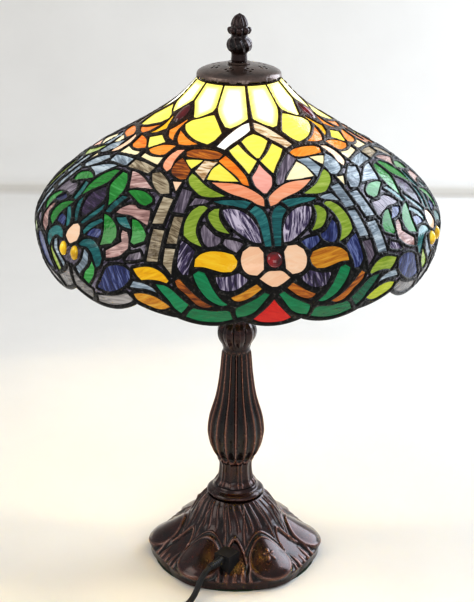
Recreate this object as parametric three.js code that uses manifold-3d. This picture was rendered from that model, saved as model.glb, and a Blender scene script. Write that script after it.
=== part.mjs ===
// A table lamp with a leaded-glass shade: a cast base and column, a two-light cluster on a
// threaded tube, a shade held by a finial, and a flex with its plug. Millimetres, +Z up,
// origin on the table under the middle of the base; -Y is the front.
import * as THREE from "three";
import { mergeVertices } from "three/addons/utils/BufferGeometryUtils.js";
import Module from "manifold-3d";

const wasm = await Module();
wasm.setup();

// ---- driving dimensions ----
const seatGap = 0.3; // between pieces that touch
const degree = Math.PI / 180;

const feltThickness = 1.6;
const feltInset = 2;
const feltHoleRadius = 17;
const baseRadius = 90.6;
const baseHeight = 70;
const baseWall = 3.5;
const baseSides = 36;
const baseLobes = 6;
const baseLobeDepth = 1.6;
const plinthRadius = 29.3;
const plinthHeight = 12.2;

const columnHeight = 157;
const columnBulbRadius = 29.5;
const columnWaistRadius = 17.3;
const columnTopRadius = 14;
const columnWall = 4;
const fluteCount = 12;
const fluteDepth = 1.3;
const capitalHeight = 46;
const capitalRadius = 19.8;
const capitalLobes = 9;
const neckHeight = 38;
const neckRadius = 9;
const neckFlare = 5;
const plinthEdge = 2;

const tubeRadius = 4.9;
const tubeBore = 3.6;
const tubeNutRadius = 8.5;
const tubeWasherRadius = 12;
const tubeNutHeight = 5;
const washerThickness = 1.6;

const clusterRadius = 24;
const clusterHeight = 22;
const clusterBossRadius = 9;
const lampTilt = 18 * degree;
const lampOffset = 14;
const socketClearance = 1.84; // between a socket cap and the riser
const wireBore = 3.2;
const socketSides = 12;

const shellRadius = 16.8;
const shellWall = 0.9;
const shellLength = 38;
const capLength = 16;
const capFloor = 2.4;
const capShoulder = 9;
const screwRadius = 13;
const screwLength = 25;
const glassRadius = 30;
const glassLength = 82;

const chainRadius = 1.6;
const chainLength = 46;
const chainKnobRadius = 4;
const chainKnobLength = 15;
const chainReach = 23.5;
const chainSleeveRadius = 3.6;
const chainSleeveDrop = 16;

const shadeRadius = 203;
const shadeCrownRadius = 40.5;
const shadeDepth = 193;
const shadeRise = 177.4; // from the cluster's top to the shade's crown
const glassThickness = 3;
const rimHeight = 2.6;
const rimGap = 0.5;
const rimWidth = 4.6;
const sectorTurn = -80.5 * degree; // the first flower's bearing about Z
const panelColumns = 12;

const riserRadius = 4;
const ringThickness = 2.7;
const restNutRadius = 12;
const restNutHeight = 6;
const capRadius = 41.8;
const capRise = 12.2;
const capWall = 1.3;
const ventHoleRadius = 1.3;
const ventClusters = 8;
const ventRing = 25;
const ventSpread = 3.6;
const finialWasherRadius = 11;
const finialBulbRadius = 12;
const finialHeight = 46.3;
const finialThreadDepth = 11;

const flowerJewelRadius = 7.2;
const crownJewelRadius = 5.6;
const crownJewelStretch = 2.4;
const yellowJewelRadius = 4.6;
const yellowJewelStretch = 1.45;
const jewelHeight = 6;

const cordRadius = 3.1;
const cordSides = 8;
const gripWidth = 19;
const gripDepth = 18;
const gripHeight = 23;
const gripFoot = [-8, -68, 12.5];
const gripTurn = -38 * degree;
const reliefLength = 20;
const reliefRadius = 4.8;
const coilCentre = [-105, -195];
const coilMiddle = 37;
const coilPitch = 6.3;
const coilSpread = 3; // pitches across the bundle of turns
const plugLength = 28;
const plugWidth = 22;
const plugThickness = 15;
const bladeLength = 17;
const bladeWidth = 6.3;
const bladeThickness = 1.5;
const bladeSpacing = 12.7;

// ---- solids and placing ----

/** Shared-vertex copy of a geometry, as a manifold solid. */
function solid(geometry) {
  const bare = geometry.clone();
  bare.deleteAttribute("normal");
  bare.deleteAttribute("uv");
  const merged = mergeVertices(bare, 1e-4);
  return new wasm.Manifold(
    new wasm.Mesh({
      numProp: 3,
      vertProperties: merged.attributes.position.array,
      triVerts: new Uint32Array(merged.index.array),
    }),
  );
}

/** Geometry of a manifold solid. */
function geometryOf(manifold) {
  const mesh = manifold.getMesh();
  const geometry = new THREE.BufferGeometry();
  geometry.setAttribute("position", new THREE.BufferAttribute(mesh.vertProperties, 3));
  geometry.setIndex(new THREE.BufferAttribute(mesh.triVerts, 1));
  return geometry;
}

/** Body of revolution about Z: profile is a list of [radius, height], in either direction. */
function turned(profile, sides = 16) {
  const points = profile.map(([r, z]) => new THREE.Vector2(r, z));
  if (THREE.ShapeUtils.area(points) < 0) points.reverse();
  return new THREE.LatheGeometry(points, sides).rotateX(Math.PI / 2);
}

/** Tubular body: the outer profile from bottom to top, closed by a straight bore. */
function turnedTube(outer, bore, sides = 16) {
  const bottom = outer[0][1];
  const top = outer[outer.length - 1][1];
  return turned([[bore, bottom], ...outer, [bore, top], [bore, bottom]], sides);
}

/** Cylinder along Z from a height upwards. */
function rod(radius, bottom, height, sides = 16) {
  const geometry = new THREE.CylinderGeometry(radius, radius, height, sides);
  return geometry.rotateX(Math.PI / 2).translate(0, 0, bottom + height / 2);
}

/** Moves every point of a geometry by a rule (x, y, z) -> [x, y, z]. */
function reshaped(geometry, rule) {
  const position = geometry.attributes.position;
  for (let i = 0; i < position.count; i++) {
    position.setXYZ(i, ...rule(position.getX(i), position.getY(i), position.getZ(i)));
  }
  return geometry;
}

/** Round section swept along points: a cord or a bent rod. */
function swept(points, radius, sides, steps) {
  const section = new THREE.Shape();
  section.absarc(0, 0, radius, 0, 2 * Math.PI);
  const path = new THREE.CatmullRomCurve3(points.map((p) => new THREE.Vector3(...p)));
  return new THREE.ExtrudeGeometry(section, {
    steps,
    curveSegments: sides / 2,
    extrudePath: path,
    bevelEnabled: false,
  });
}

const lamp = new THREE.Group();

/** Adds a named piece to the lamp. */
function add(name, geometry, material) {
  const mesh = new THREE.Mesh(geometry, material);
  mesh.name = name;
  lamp.add(mesh);
}

function finish(color, roughness, metalness) {
  return new THREE.MeshStandardMaterial({ color, roughness, metalness });
}

const bronze = finish(0x3a1512, 0.42, 0.75);
const capBronze = finish(0x4a4038, 0.45, 0.8);
const brass = finish(0xb08d4a, 0.35, 0.9);
const steel = finish(0x9a9a96, 0.4, 0.9);
const felt = finish(0x1c3a2a, 0.95, 0);
const blackPlastic = finish(0x0c0c0d, 0.5, 0);
const lead = finish(0x2b2a28, 0.55, 0.6);
const opalGlass = finish(0x5f6f88, 0.2, 0);
const leafGlass = finish(0x2f8a5a, 0.2, 0);
const rubyGlass = finish(0x8f0c16, 0.08, 0);
const yellowGlass = finish(0xe2b012, 0.1, 0);
const lampGlass = finish(0xfff2d0, 0.15, 0);

// ---- base ----

const baseBottom = feltThickness + seatGap;
const baseTop = feltThickness + seatGap + baseHeight;
const tubeClearance = tubeRadius + seatGap;

add(
  "base_felt",
  turnedTube(
    [[baseRadius - feltInset, 0], [baseRadius - feltInset, feltThickness]],
    feltHoleRadius,
    baseSides,
  ),
  felt,
);

/** The bell's outline as shares of the rim radius and the height, rim to plinth. */
const bellOutline = [[1, 0], [1, 0.13], [0.965, 0.2], [0.87, 0.3], [0.74, 0.44], [0.6, 0.62]];
bellOutline.push([0.47, 0.82], [0.385, 0.94]);

function baseProfile() {
  const outer = bellOutline.map(([r, z]) => [r * baseRadius, baseBottom + z * baseHeight]);
  const inner = outer.map(([r, z]) => [r - baseWall, Math.max(baseBottom, z - baseWall)]);
  const shoulder = plinthRadius + seatGap;
  return [
    [tubeClearance, baseTop],
    [tubeClearance, baseTop - baseWall],
    [shoulder - baseWall, baseTop - baseWall],
    ...inner.reverse(),
    ...outer,
    [shoulder, baseTop],
    [tubeClearance, baseTop],
  ];
}

/** Wavy edge: the bell swells into lobes towards its rim. */
function lobed(x, y, z) {
  const radius = Math.hypot(x, y);
  const share = Math.max(0, (radius - plinthRadius) / (baseRadius - plinthRadius));
  const wave = Math.cos(baseLobes * Math.atan2(y, x)) - 1;
  const scale = 1 + (baseLobeDepth * share * share * wave) / (2 * baseRadius);
  return [x * scale, y * scale, z];
}

/** The cord grip's block, turned to face its cord, larger all round by a clearance. */
function gripBlock(clearance) {
  const [x, y, foot] = gripFoot;
  const sides = [gripWidth, gripDepth, gripHeight].map((side) => side + 2 * clearance);
  const block = new THREE.BoxGeometry(...sides).rotateZ(gripTurn);
  return block.translate(x, y, foot + gripHeight / 2);
}

const bell = solid(reshaped(turned(baseProfile(), baseSides), lobed));
add("base_casting", geometryOf(bell.subtract(solid(gripBlock(seatGap)))), bronze);
add("cord_grip", gripBlock(0), blackPlastic);

const plinthBottom = baseTop + seatGap;
const plinthTop = plinthBottom + plinthHeight;
add(
  "plinth_ring",
  turnedTube(
    [
      [plinthRadius - plinthEdge, plinthBottom],
      [plinthRadius, plinthBottom + plinthEdge],
      [plinthRadius, plinthTop - plinthEdge],
      [plinthRadius - plinthEdge, plinthTop],
    ],
    tubeClearance,
    24,
  ),
  bronze,
);

// ---- column, capital and neck ----

const columnBottom = plinthTop + seatGap;
const columnTop = columnBottom + columnHeight;
const bulbSpan = columnBulbRadius - columnTopRadius;
const columnFootFlare = 5;

/** Radius of the column at a share of its height. */
const columnOutline = [
  [0, columnWaistRadius + columnFootFlare],
  [0.04, columnWaistRadius + 1.4],
  [0.14, columnWaistRadius],
  [0.19, columnWaistRadius + 2.2],
  [0.27, columnTopRadius + 0.78 * bulbSpan],
  [0.35, columnTopRadius + 0.97 * bulbSpan],
  [0.4, columnBulbRadius],
  [0.5, columnTopRadius + 0.87 * bulbSpan],
  [0.65, columnTopRadius + 0.44 * bulbSpan],
  [0.8, columnTopRadius + 0.2 * bulbSpan],
  [0.92, columnTopRadius + 0.09 * bulbSpan],
  [1, columnTopRadius],
];

/** Rule that presses a number of grooves into a turned piece, down to its bore. */
function grooved(count) {
  return (x, y, z) => {
    const radius = Math.hypot(x, y);
    if (radius < tubeClearance + columnWall) return [x, y, z];
    const wave = Math.cos(count * Math.atan2(y, x)) - 1;
    const scale = 1 + (fluteDepth * wave) / (2 * radius);
    return [x * scale, y * scale, z];
  };
}

const columnProfile = columnOutline.map(([share, r]) => [r, columnBottom + share * columnHeight]);
const columnInside = columnProfile
  .slice(2, -1)
  .filter((point, index) => index % 3 === 0)
  .map(([r, z]) => [r - columnWall, z]);
add(
  "column_casting",
  reshaped(
    turned(
      [
        [tubeClearance, columnBottom],
        ...columnProfile,
        [tubeClearance, columnTop],
        [tubeClearance, columnTop - columnWall],
        ...columnInside.reverse(),
        [tubeClearance, columnBottom + columnWall],
        [tubeClearance, columnBottom],
      ],
      2 * fluteCount,
    ),
    grooved(fluteCount),
  ),
  bronze,
);

const capitalBottom = columnTop + seatGap;
const capitalTop = capitalBottom + capitalHeight;
const capitalOutline = [[0, 0.74], [0.12, 0.8], [0.24, 0.94], [0.37, 1], [0.5, 0.93], [0.66, 0.76]];
capitalOutline.push([0.8, 0.78], [1, 1.02]);
add(
  "column_capital",
  reshaped(
    turnedTube(
      capitalOutline.map(([s, r]) => [r * capitalRadius, capitalBottom + s * capitalHeight]),
      tubeClearance,
      2 * capitalLobes,
    ),
    grooved(capitalLobes),
  ),
  bronze,
);

const neckBottom = capitalTop + seatGap;
const neckTop = neckBottom + neckHeight;
add(
  "neck_spacer",
  turnedTube(
    [
      [neckRadius + neckFlare, neckBottom],
      [neckRadius + neckFlare, neckBottom + neckFlare / 2],
      [neckRadius, neckBottom + 1.5 * neckFlare],
      [neckRadius, neckTop - 1.5 * neckFlare],
      [neckRadius + neckFlare, neckTop],
    ],
    tubeClearance,
  ),
  brass,
);

// ---- threaded tube with its nut, and the light cluster ----

const clusterBottom = neckTop + seatGap;
const clusterTop = clusterBottom + clusterHeight;
const nutTop = baseTop - baseWall - seatGap - washerThickness - seatGap;
const tubeBottom = nutTop - tubeNutHeight - 4;
const tubeTop = clusterBottom + 6;
const wireHeight = tubeTop + 4;
const riserBottom = wireHeight + 4;

add(
  "centre_tube",
  turnedTube([[tubeRadius, tubeBottom], [tubeRadius, tubeTop]], tubeBore, 16),
  steel,
);
add(
  "tube_washer",
  turnedTube(
    [
      [tubeWasherRadius, nutTop + seatGap],
      [tubeWasherRadius, nutTop + seatGap + washerThickness],
    ],
    tubeClearance,
  ),
  steel,
);
const nutBlank = solid(rod(tubeNutRadius, nutTop - tubeNutHeight, tubeNutHeight, 6));
const nutHole = solid(rod(tubeClearance, nutTop - 2 * tubeNutHeight, 3 * tubeNutHeight));
add("tube_nut", geometryOf(nutBlank.subtract(nutHole)), brass);

const leanRight = new THREE.Vector3(Math.sin(lampTilt), 0, Math.cos(lampTilt));
const clusterMiddle = clusterBottom + 4;
const shoulderReach = riserRadius + socketClearance + shellRadius * Math.cos(lampTilt);
const shoulderAlong = (shoulderReach - lampOffset) / Math.sin(lampTilt);
const lampBossLength = shoulderAlong - capShoulder - seatGap;

/** Turns and moves a piece built about its own Z onto the lamp axis of a side, 1 or -1. */
function onLampAxis(geometry, side, along = 0) {
  geometry.translate(0, 0, along);
  geometry.rotateY(side * lampTilt);
  return geometry.translate(side * lampOffset, 0, clusterMiddle);
}

const clusterCollarRadius = riserRadius + 3;
const clusterCollarBottom = clusterTop - 5;
let cluster = solid(
  turned(
    [
      [0, clusterBottom],
      [clusterRadius * 0.6, clusterBottom],
      [clusterRadius, clusterBottom + clusterHeight * 0.3],
      [clusterRadius, clusterBottom + clusterHeight * 0.5],
      [clusterRadius * 0.5, clusterCollarBottom],
      [clusterCollarRadius, clusterCollarBottom],
      [clusterCollarRadius, clusterTop],
      [0, clusterTop],
    ],
    20,
  ),
);
for (const side of [-1, 1]) {
  cluster = cluster.add(solid(onLampAxis(rod(clusterBossRadius, 0, lampBossLength, 16), side)));
}
const tubeHole = rod(tubeClearance, clusterBottom - 1, tubeTop + 1 + seatGap - clusterBottom);
const wireHole = rod(wireBore, clusterBottom, wireHeight - clusterBottom, 12);
const crossHole = rod(wireBore, -lampOffset - 2, 2 * lampOffset + 4, 12).rotateY(Math.PI / 2);
const riserHole = rod(riserRadius + seatGap, riserBottom - 1, clusterHeight);
cluster = cluster.subtract(solid(tubeHole)).subtract(solid(wireHole));
cluster = cluster.subtract(solid(crossHole.translate(0, 0, wireHeight))).subtract(solid(riserHole));
for (const side of [-1, 1]) {
  cluster = cluster.subtract(solid(onLampAxis(rod(wireBore, 5, lampBossLength, 12), side)));
}
add("cluster_body", geometryOf(cluster), brass);

// ---- sockets, lamps and pull chains ----

const socketStart = lampBossLength + seatGap;
const shellStart = capLength + seatGap;
const shellEnd = shellStart + shellLength;
const insertRadius = shellRadius - shellWall - seatGap;
const insertStart = 6;
const screwBore = screwRadius + seatGap;
const screwStart = shellEnd - screwLength;
const glassStart = shellEnd + seatGap;
const sleeveRoot = shellRadius - 0.6 * shellWall;
const sleeveHeight = shellStart + 7;

for (const [side, hand] of [[-1, "left"], [1, "right"]]) {
  const place = (geometry) => onLampAxis(geometry, side, socketStart);

  const capInner = insertRadius + seatGap;
  const coneShare = (insertStart - capFloor) / (capShoulder - capFloor);
  const coneRadius = clusterBossRadius + coneShare * (capInner - clusterBossRadius);
  add(
    `socket_cap_${hand}`,
    place(
      turned(
        [
          [wireBore, 0],
          [clusterBossRadius, 0],
          [shellRadius, capShoulder],
          [shellRadius, capLength],
          [capInner, capLength],
          [capInner, capShoulder],
          [clusterBossRadius, capFloor],
          [wireBore, capFloor],
          [wireBore, 0],
        ],
        socketSides,
      ),
    ),
    brass,
  );

  add(
    `socket_insert_${hand}`,
    place(
      turned(
        [
          [0, insertStart],
          [coneRadius - 4 * seatGap, insertStart],
          [insertRadius, capShoulder + 3],
          [insertRadius, shellEnd - 1],
          [screwBore, shellEnd - 1],
          [screwBore, screwStart - 1],
          [0, screwStart - 1],
        ],
        socketSides,
      ),
    ),
    blackPlastic,
  );

  // Shell with a beaded mouth; the chain sleeve is a short elbow that points down.
  let shell = solid(
    place(
      turned(
        [
          [shellRadius - shellWall, shellStart],
          [shellRadius, shellStart],
          [shellRadius, shellEnd - 3],
          [shellRadius + 1, shellEnd - 1.5],
          [shellRadius, shellEnd],
          [shellRadius - shellWall, shellEnd],
          [shellRadius - shellWall, shellStart],
        ],
        socketSides,
      ),
    ),
  );
  const sleeveX = side * (lampOffset + (socketStart + sleeveHeight) * leanRight.x);
  const sleeveZ = clusterMiddle + (socketStart + sleeveHeight) * leanRight.z;
  const arm = rod(chainSleeveRadius, 0, chainReach - sleeveRoot, 10).rotateX(Math.PI / 2);
  arm.translate(sleeveX, -sleeveRoot, sleeveZ);
  const drop = rod(chainSleeveRadius, -chainSleeveDrop, chainSleeveDrop + chainSleeveRadius, 10);
  drop.translate(sleeveX, -chainReach, sleeveZ);
  const chainWay = rod(chainRadius + 2 * seatGap, -chainSleeveDrop - 1, chainSleeveDrop, 10);
  chainWay.translate(sleeveX, -chainReach, sleeveZ);
  shell = shell.add(solid(arm)).add(solid(drop)).subtract(solid(chainWay));
  add(`socket_shell_${hand}`, geometryOf(shell), brass);

  const chainTop = sleeveZ - 4;
  const chain = rod(chainRadius, chainTop - chainLength, chainLength, 8);
  add(`pull_chain_${hand}`, chain.translate(sleeveX, -chainReach, 0), brass);
  const knobTop = chainTop - chainLength - seatGap;
  const knob = turned(
    [
      [0, knobTop - chainKnobLength],
      [chainKnobRadius * 0.8, knobTop - chainKnobLength + 1],
      [chainKnobRadius, knobTop - chainKnobLength * 0.6],
      [chainRadius, knobTop - 1],
      [0, knobTop],
    ],
    8,
  );
  add(`pull_knob_${hand}`, knob.translate(sleeveX, -chainReach, 0), brass);

  add(
    `bulb_base_${hand}`,
    place(
      turned(
        [
          [0, screwStart],
          [screwRadius * 0.5, screwStart],
          [screwRadius, screwStart + 4],
          [screwRadius, screwStart + screwLength],
          [0, screwStart + screwLength],
        ],
        socketSides,
      ),
    ),
    steel,
  );
  const glass = [[0, 0], [0.45, 0], [0.5, 0.1], [0.76, 0.28], [0.96, 0.48], [1, 0.62], [0.9, 0.8]];
  glass.push([0.58, 0.95], [0, 1]);
  add(
    `bulb_glass_${hand}`,
    place(turned(glass.map(([r, s]) => [r * glassRadius, glassStart + s * glassLength]))),
    lampGlass,
  );
}

// ---- shade: a shell of revolution with a scalloped rim, in six leaded panels ----

/** The shade's outline as shares of its spread and depth, crown to rim. */
const shadeOutline = [[0, 0], [0.16, 0.134], [0.391, 0.26], [0.662, 0.394], [0.868, 0.526]];
shadeOutline.push([0.975, 0.644], [1, 0.716], [0.9975, 0.778], [0.978, 0.871], [0.9415, 0.943]);
shadeOutline.push([0.9015, 1]);

const shadeTop = clusterTop + shadeRise;
const shadeCurve = new THREE.SplineCurve(
  shadeOutline.map(
    ([u, v]) =>
      new THREE.Vector2(
        shadeCrownRadius + u * (shadeRadius - shadeCrownRadius),
        shadeTop - v * shadeDepth,
      ),
  ),
);

/** The rim's scallops by bearing from a flower, in degrees: edge, tip and its share of the curve. */
const scallops = [
  { from: 0, to: 8, start: 0.98, tip: 0.98, end: 0.95 },
  { from: 8, to: 25.5, start: 0.95, tip: 0.98, end: 0.952 },
  { from: 25.5, to: 37, start: 0.952, tip: 0.94, end: 0.913 },
  { from: 37, to: 60, start: 0.913, tip: 0.97, end: 0.922 },
];

/** Where along the shade's curve, 0 to 1, the rim lies at a bearing from a flower. */
function rimShare(bearing) {
  const turn = (((bearing / degree) % 120) + 120) % 120;
  const fold = Math.min(turn, 120 - turn);
  const { from, to, start, tip, end } = scallops.find((s) => fold <= s.to) ?? scallops[3];
  const along = from === 0 ? 0.5 + (0.5 * fold) / to : (fold - from) / (to - from);
  const chord = from === 0 ? end : start + (end - start) * along;
  const rise = from === 0 ? tip - end : tip - (start + end) / 2;
  return chord + rise * Math.sin(Math.PI * along) ** 0.8;
}

const panelRows = [0, 0.1, 0.22, 0.35, 0.48, 0.6, 0.7, 0.78, 0.85];
const lastFixedRow = panelRows.length - 1;
const lowerRows = [0.5, 1];
const curveLength = shadeCurve.getLength();

/** Point of the shade's outer (depth 0) or inner face, and the outward normal there. */
function shadePoint(bearing, share, depth) {
  const point = shadeCurve.getPointAt(Math.min(share, 1));
  const tangent = shadeCurve.getTangentAt(Math.min(share, 1));
  const normal = new THREE.Vector2(-tangent.y, tangent.x);
  const radius = point.x - depth * normal.x;
  const height = point.y - depth * normal.y;
  return new THREE.Vector3(radius * Math.cos(bearing), radius * Math.sin(bearing), height);
}

/** A 60 degree piece of the shade, centred on a bearing, down to the rim moulding. */
function shadePanel(middle) {
  const rows = panelRows.length + lowerRows.length;
  const columns = panelColumns + 1;
  const vertices = [];
  for (const depth of [0, glassThickness]) {
    for (let j = 0; j < rows; j++) {
      for (let i = 0; i < columns; i++) {
        const offset = (i / panelColumns - 0.5) * 60 * degree;
        const bearing = middle + offset;
        const rim = rimShare(bearing - sectorTurn) - (rimHeight / 2 + rimGap) / curveLength;
        const fixed = panelRows[Math.min(j, lastFixedRow)];
        const extra = j > lastFixedRow ? lowerRows[j - lastFixedRow - 1] : 0;
        const share = fixed + (rim - panelRows[lastFixedRow]) * extra;
        const point = shadePoint(bearing, share, depth);
        const edge = i === 0 ? 1 : i === panelColumns ? -1 : 0;
        const inset = (edge * seatGap) / 2;
        point.x -= inset * Math.sin(bearing);
        point.y += inset * Math.cos(bearing);
        vertices.push(point.x, point.y, point.z);
      }
    }
  }
  const faces = [];
  const layer = rows * columns;
  const quad = (a, b, c, d) => faces.push(a, b, c, a, c, d);
  for (let j = 0; j < rows - 1; j++) {
    for (let i = 0; i < panelColumns; i++) {
      const a = j * columns + i;
      const b = a + columns;
      quad(a, b, b + 1, a + 1);
      quad(layer + a, layer + a + 1, layer + b + 1, layer + b);
    }
    const left = j * columns;
    const right = left + panelColumns;
    quad(left, layer + left, layer + left + columns, left + columns);
    quad(right, right + columns, layer + right + columns, layer + right);
  }
  for (let i = 0; i < panelColumns; i++) {
    const low = (rows - 1) * columns + i;
    quad(i, i + 1, layer + i + 1, layer + i);
    quad(low, layer + low, layer + low + 1, low + 1);
  }
  const geometry = new THREE.BufferGeometry();
  geometry.setAttribute("position", new THREE.Float32BufferAttribute(vertices, 3));
  geometry.setIndex(faces);
  return geometry;
}

/** Stands a piece built about Z on the shade's middle surface, its X along the meridian. */
function onShade(geometry, bearing, share) {
  const point = shadePoint(bearing, share, glassThickness / 2);
  const tangent = shadeCurve.getTangentAt(share);
  const along = new THREE.Vector3(
    tangent.x * Math.cos(bearing),
    tangent.x * Math.sin(bearing),
    tangent.y,
  );
  const out = shadePoint(bearing, share, 0).sub(shadePoint(bearing, share, 1)).normalize();
  const across = new THREE.Vector3().crossVectors(out, along);
  const frame = new THREE.Matrix4().makeBasis(along, across, out).setPosition(point);
  return geometry.applyMatrix4(frame);
}

/** Lens-shaped glass jewel, stretched along the meridian. */
function jewel(radius, stretch) {
  const half = jewelHeight / 2;
  const edge = [[0.75 * radius, -0.6 * half], [radius, 0], [0.75 * radius, 0.6 * half]];
  return turned([[0, -half], ...edge, [0, half]], 10).scale(stretch, 1, 1);
}

function jewelHole(radius, stretch) {
  const wide = radius + seatGap;
  const long = stretch * radius + seatGap;
  return rod(wide, -2 * glassThickness, 4 * glassThickness, 10).scale(long / wide, 1, 1);
}

const crownJewel = [crownJewelRadius, crownJewelStretch];
const flowerJewel = [flowerJewelRadius, 1];
const yellowJewel = [yellowJewelRadius, yellowJewelStretch];
const yellowOffset = 2.6 * degree;
const crownJewelShare = 0.145;
const flowerJewelShare = 0.733;
const yellowJewelShare = 0.79;

for (let third = 0; third < 3; third++) {
  const flower = sectorTurn + third * 120 * degree;
  const leaf = flower + 60 * degree;
  let flowerPanel = solid(shadePanel(flower));
  flowerPanel = flowerPanel.subtract(
    solid(onShade(jewelHole(...flowerJewel), flower, flowerJewelShare)),
  );
  add(`shade_flower_panel_${third + 1}`, geometryOf(flowerPanel), opalGlass);
  add(
    `flower_jewel_${third + 1}`,
    onShade(jewel(...flowerJewel), flower, flowerJewelShare),
    rubyGlass,
  );

  let leafPanel = solid(shadePanel(leaf));
  leafPanel = leafPanel.subtract(solid(onShade(jewelHole(...crownJewel), leaf, crownJewelShare)));
  add(`crown_jewel_${third + 1}`, onShade(jewel(...crownJewel), leaf, crownJewelShare), rubyGlass);
  for (const [side, hand] of [[-1, "a"], [1, "b"]]) {
    const bearing = leaf + side * yellowOffset;
    leafPanel = leafPanel.subtract(
      solid(onShade(jewelHole(...yellowJewel), bearing, yellowJewelShare)),
    );
    add(
      `leaf_jewel_${third + 1}${hand}`,
      onShade(jewel(...yellowJewel), bearing, yellowJewelShare),
      yellowGlass,
    );
  }
  add(`shade_leaf_panel_${third + 1}`, geometryOf(leafPanel), leafGlass);
}

/** The rim moulding: a bar of rectangular section that follows the scallops. */
function rimMoulding() {
  const sides = 6 * panelColumns;
  const corners = [[-1, -1], [1, -1], [1, 1], [-1, 1]];
  const vertices = [];
  const faces = [];
  for (let i = 0; i < sides; i++) {
    const fromFlower = (i / sides) * 2 * Math.PI;
    const bearing = sectorTurn + fromFlower;
    const share = rimShare(fromFlower);
    for (const [out, down] of corners) {
      const depth = glassThickness / 2 - (out * rimWidth) / 2;
      const point = shadePoint(bearing, share + (down * rimHeight) / 2 / curveLength, depth);
      vertices.push(point.x, point.y, point.z);
    }
    const here = 4 * i;
    const next = 4 * ((i + 1) % sides);
    for (let k = 0; k < 4; k++) {
      const l = (k + 1) % 4;
      faces.push(here + k, here + l, next + l, here + k, next + l, next + k);
    }
  }
  const geometry = new THREE.BufferGeometry();
  geometry.setAttribute("position", new THREE.Float32BufferAttribute(vertices, 3));
  geometry.setIndex(faces);
  return geometry;
}

add("rim_moulding", rimMoulding(), lead);

// ---- what holds the shade: riser, nut, crown ring, vent cap and finial ----

const ringTop = shadeTop - glassThickness * Math.SQRT1_2 - 0.9;
const ringBottom = ringTop - ringThickness;
const riserClearance = riserRadius + seatGap;
const ringRadius = shadeCrownRadius - glassThickness * Math.SQRT1_2 + 0.5;
const capBottom = shadeTop + 2 * seatGap;
const capTop = capBottom + capRise;
const washerTop = capTop + seatGap + washerThickness;
const finialBottom = washerTop + seatGap;
const riserTop = finialBottom + finialThreadDepth - 1;

add("riser_rod", rod(riserRadius, riserBottom, riserTop - riserBottom), steel);
add(
  "shade_rest_nut",
  turnedTube(
    [
      [restNutRadius, ringBottom - seatGap - restNutHeight],
      [restNutRadius, ringBottom - seatGap],
    ],
    riserClearance,
    12,
  ),
  brass,
);
add(
  "crown_ring",
  turnedTube([[ringRadius, ringBottom], [ringRadius, ringTop]], riserClearance, 24),
  brass,
);

/** The cap's outline as shares of its radius and rise, rim to centre. */
const capOutline = [[1, 0], [1, 0.08], [0.965, 0.2], [0.8, 0.46], [0.55, 0.78], [0.3, 0.98]];

function ventCap() {
  const outer = capOutline.map(([r, z]) => [r * capRadius, capBottom + z * capRise]);
  const inner = capOutline.slice(1).map(([r, z]) => [
    r * capRadius - capWall,
    capBottom + Math.max(0, z * capRise - capWall),
  ]);
  let cap = solid(
    turned(
      [
        [riserClearance, capTop],
        [riserClearance, capTop - capWall],
        ...inner.reverse(),
        ...outer,
        [riserClearance, capTop],
      ],
      32,
    ),
  );
  for (let c = 0; c < ventClusters; c++) {
    for (let k = 0; k < 4; k++) {
      const hole = rod(ventHoleRadius, capBottom - 1, capRise + 2, 4);
      const turn = k * 90 * degree;
      hole.translate(ventRing + ventSpread * Math.cos(turn), ventSpread * Math.sin(turn), 0);
      hole.rotateZ(((c + 0.5) / ventClusters) * 2 * Math.PI);
      cap = cap.subtract(solid(hole));
    }
  }
  return geometryOf(cap);
}

add("vent_cap", ventCap(), capBronze);
add(
  "finial_washer",
  turnedTube(
    [[finialWasherRadius, capTop + seatGap], [finialWasherRadius, washerTop]],
    riserClearance,
  ),
  capBronze,
);

/** The finial's outline as shares of its bulb radius and height, foot to tip. */
const finialOutline = [[0.62, 0], [0.66, 0.04], [0.64, 0.15], [0.9, 0.25], [1, 0.33], [0.92, 0.42]];
finialOutline.push([0.66, 0.52], [0.66, 0.56], [0.86, 0.62], [0.86, 0.7], [0.8, 0.74], [0.5, 0.88]);
finialOutline.push([0.16, 0.985], [0, 1]);
add(
  "finial",
  turned(
    [
      [0, finialBottom + finialThreadDepth],
      [riserClearance, finialBottom + finialThreadDepth],
      [riserClearance, finialBottom],
      ...finialOutline.map(([r, z]) => [r * finialBulbRadius, finialBottom + z * finialHeight]),
    ],
    16,
  ),
  capBronze,
);

// ---- flex: inside the lamp, out of the grip, along the table to its coil and plug ----

const innerLeadRadius = 2.4;
add(
  "inner_lead",
  swept(
    [
      [0, 0, tubeTop + 2],
      [0, 0, 200],
      [0, 0, 110],
      [0, 0, 56],
      [0.6, -3, 44],
      [2.5, -12, 32.5],
      [4.8, -24, 26.3],
      [6.2, -36, 24.3],
      [5.4, -47, 24],
      [2.5, -54.5, 24],
      [-2.2, -60.5, 24],
    ],
    innerLeadRadius,
    cordSides,
    24,
  ),
  blackPlastic,
);

const exitHeight = 30;
const exitX = gripFoot[0] + (gripDepth / 2 + seatGap) * Math.sin(gripTurn);
const exitY = gripFoot[1] - (gripDepth / 2 + seatGap) * Math.cos(gripTurn);
const relief = turned(
  [
    [0, 0],
    [reliefRadius, 0],
    [reliefRadius, reliefLength * 0.15],
    [cordRadius + 0.6, reliefLength],
    [0, reliefLength],
  ],
  12,
);
relief.rotateX(Math.PI / 2).rotateZ(gripTurn).translate(exitX, exitY, exitHeight);
add("strain_relief", relief, blackPlastic);

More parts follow.
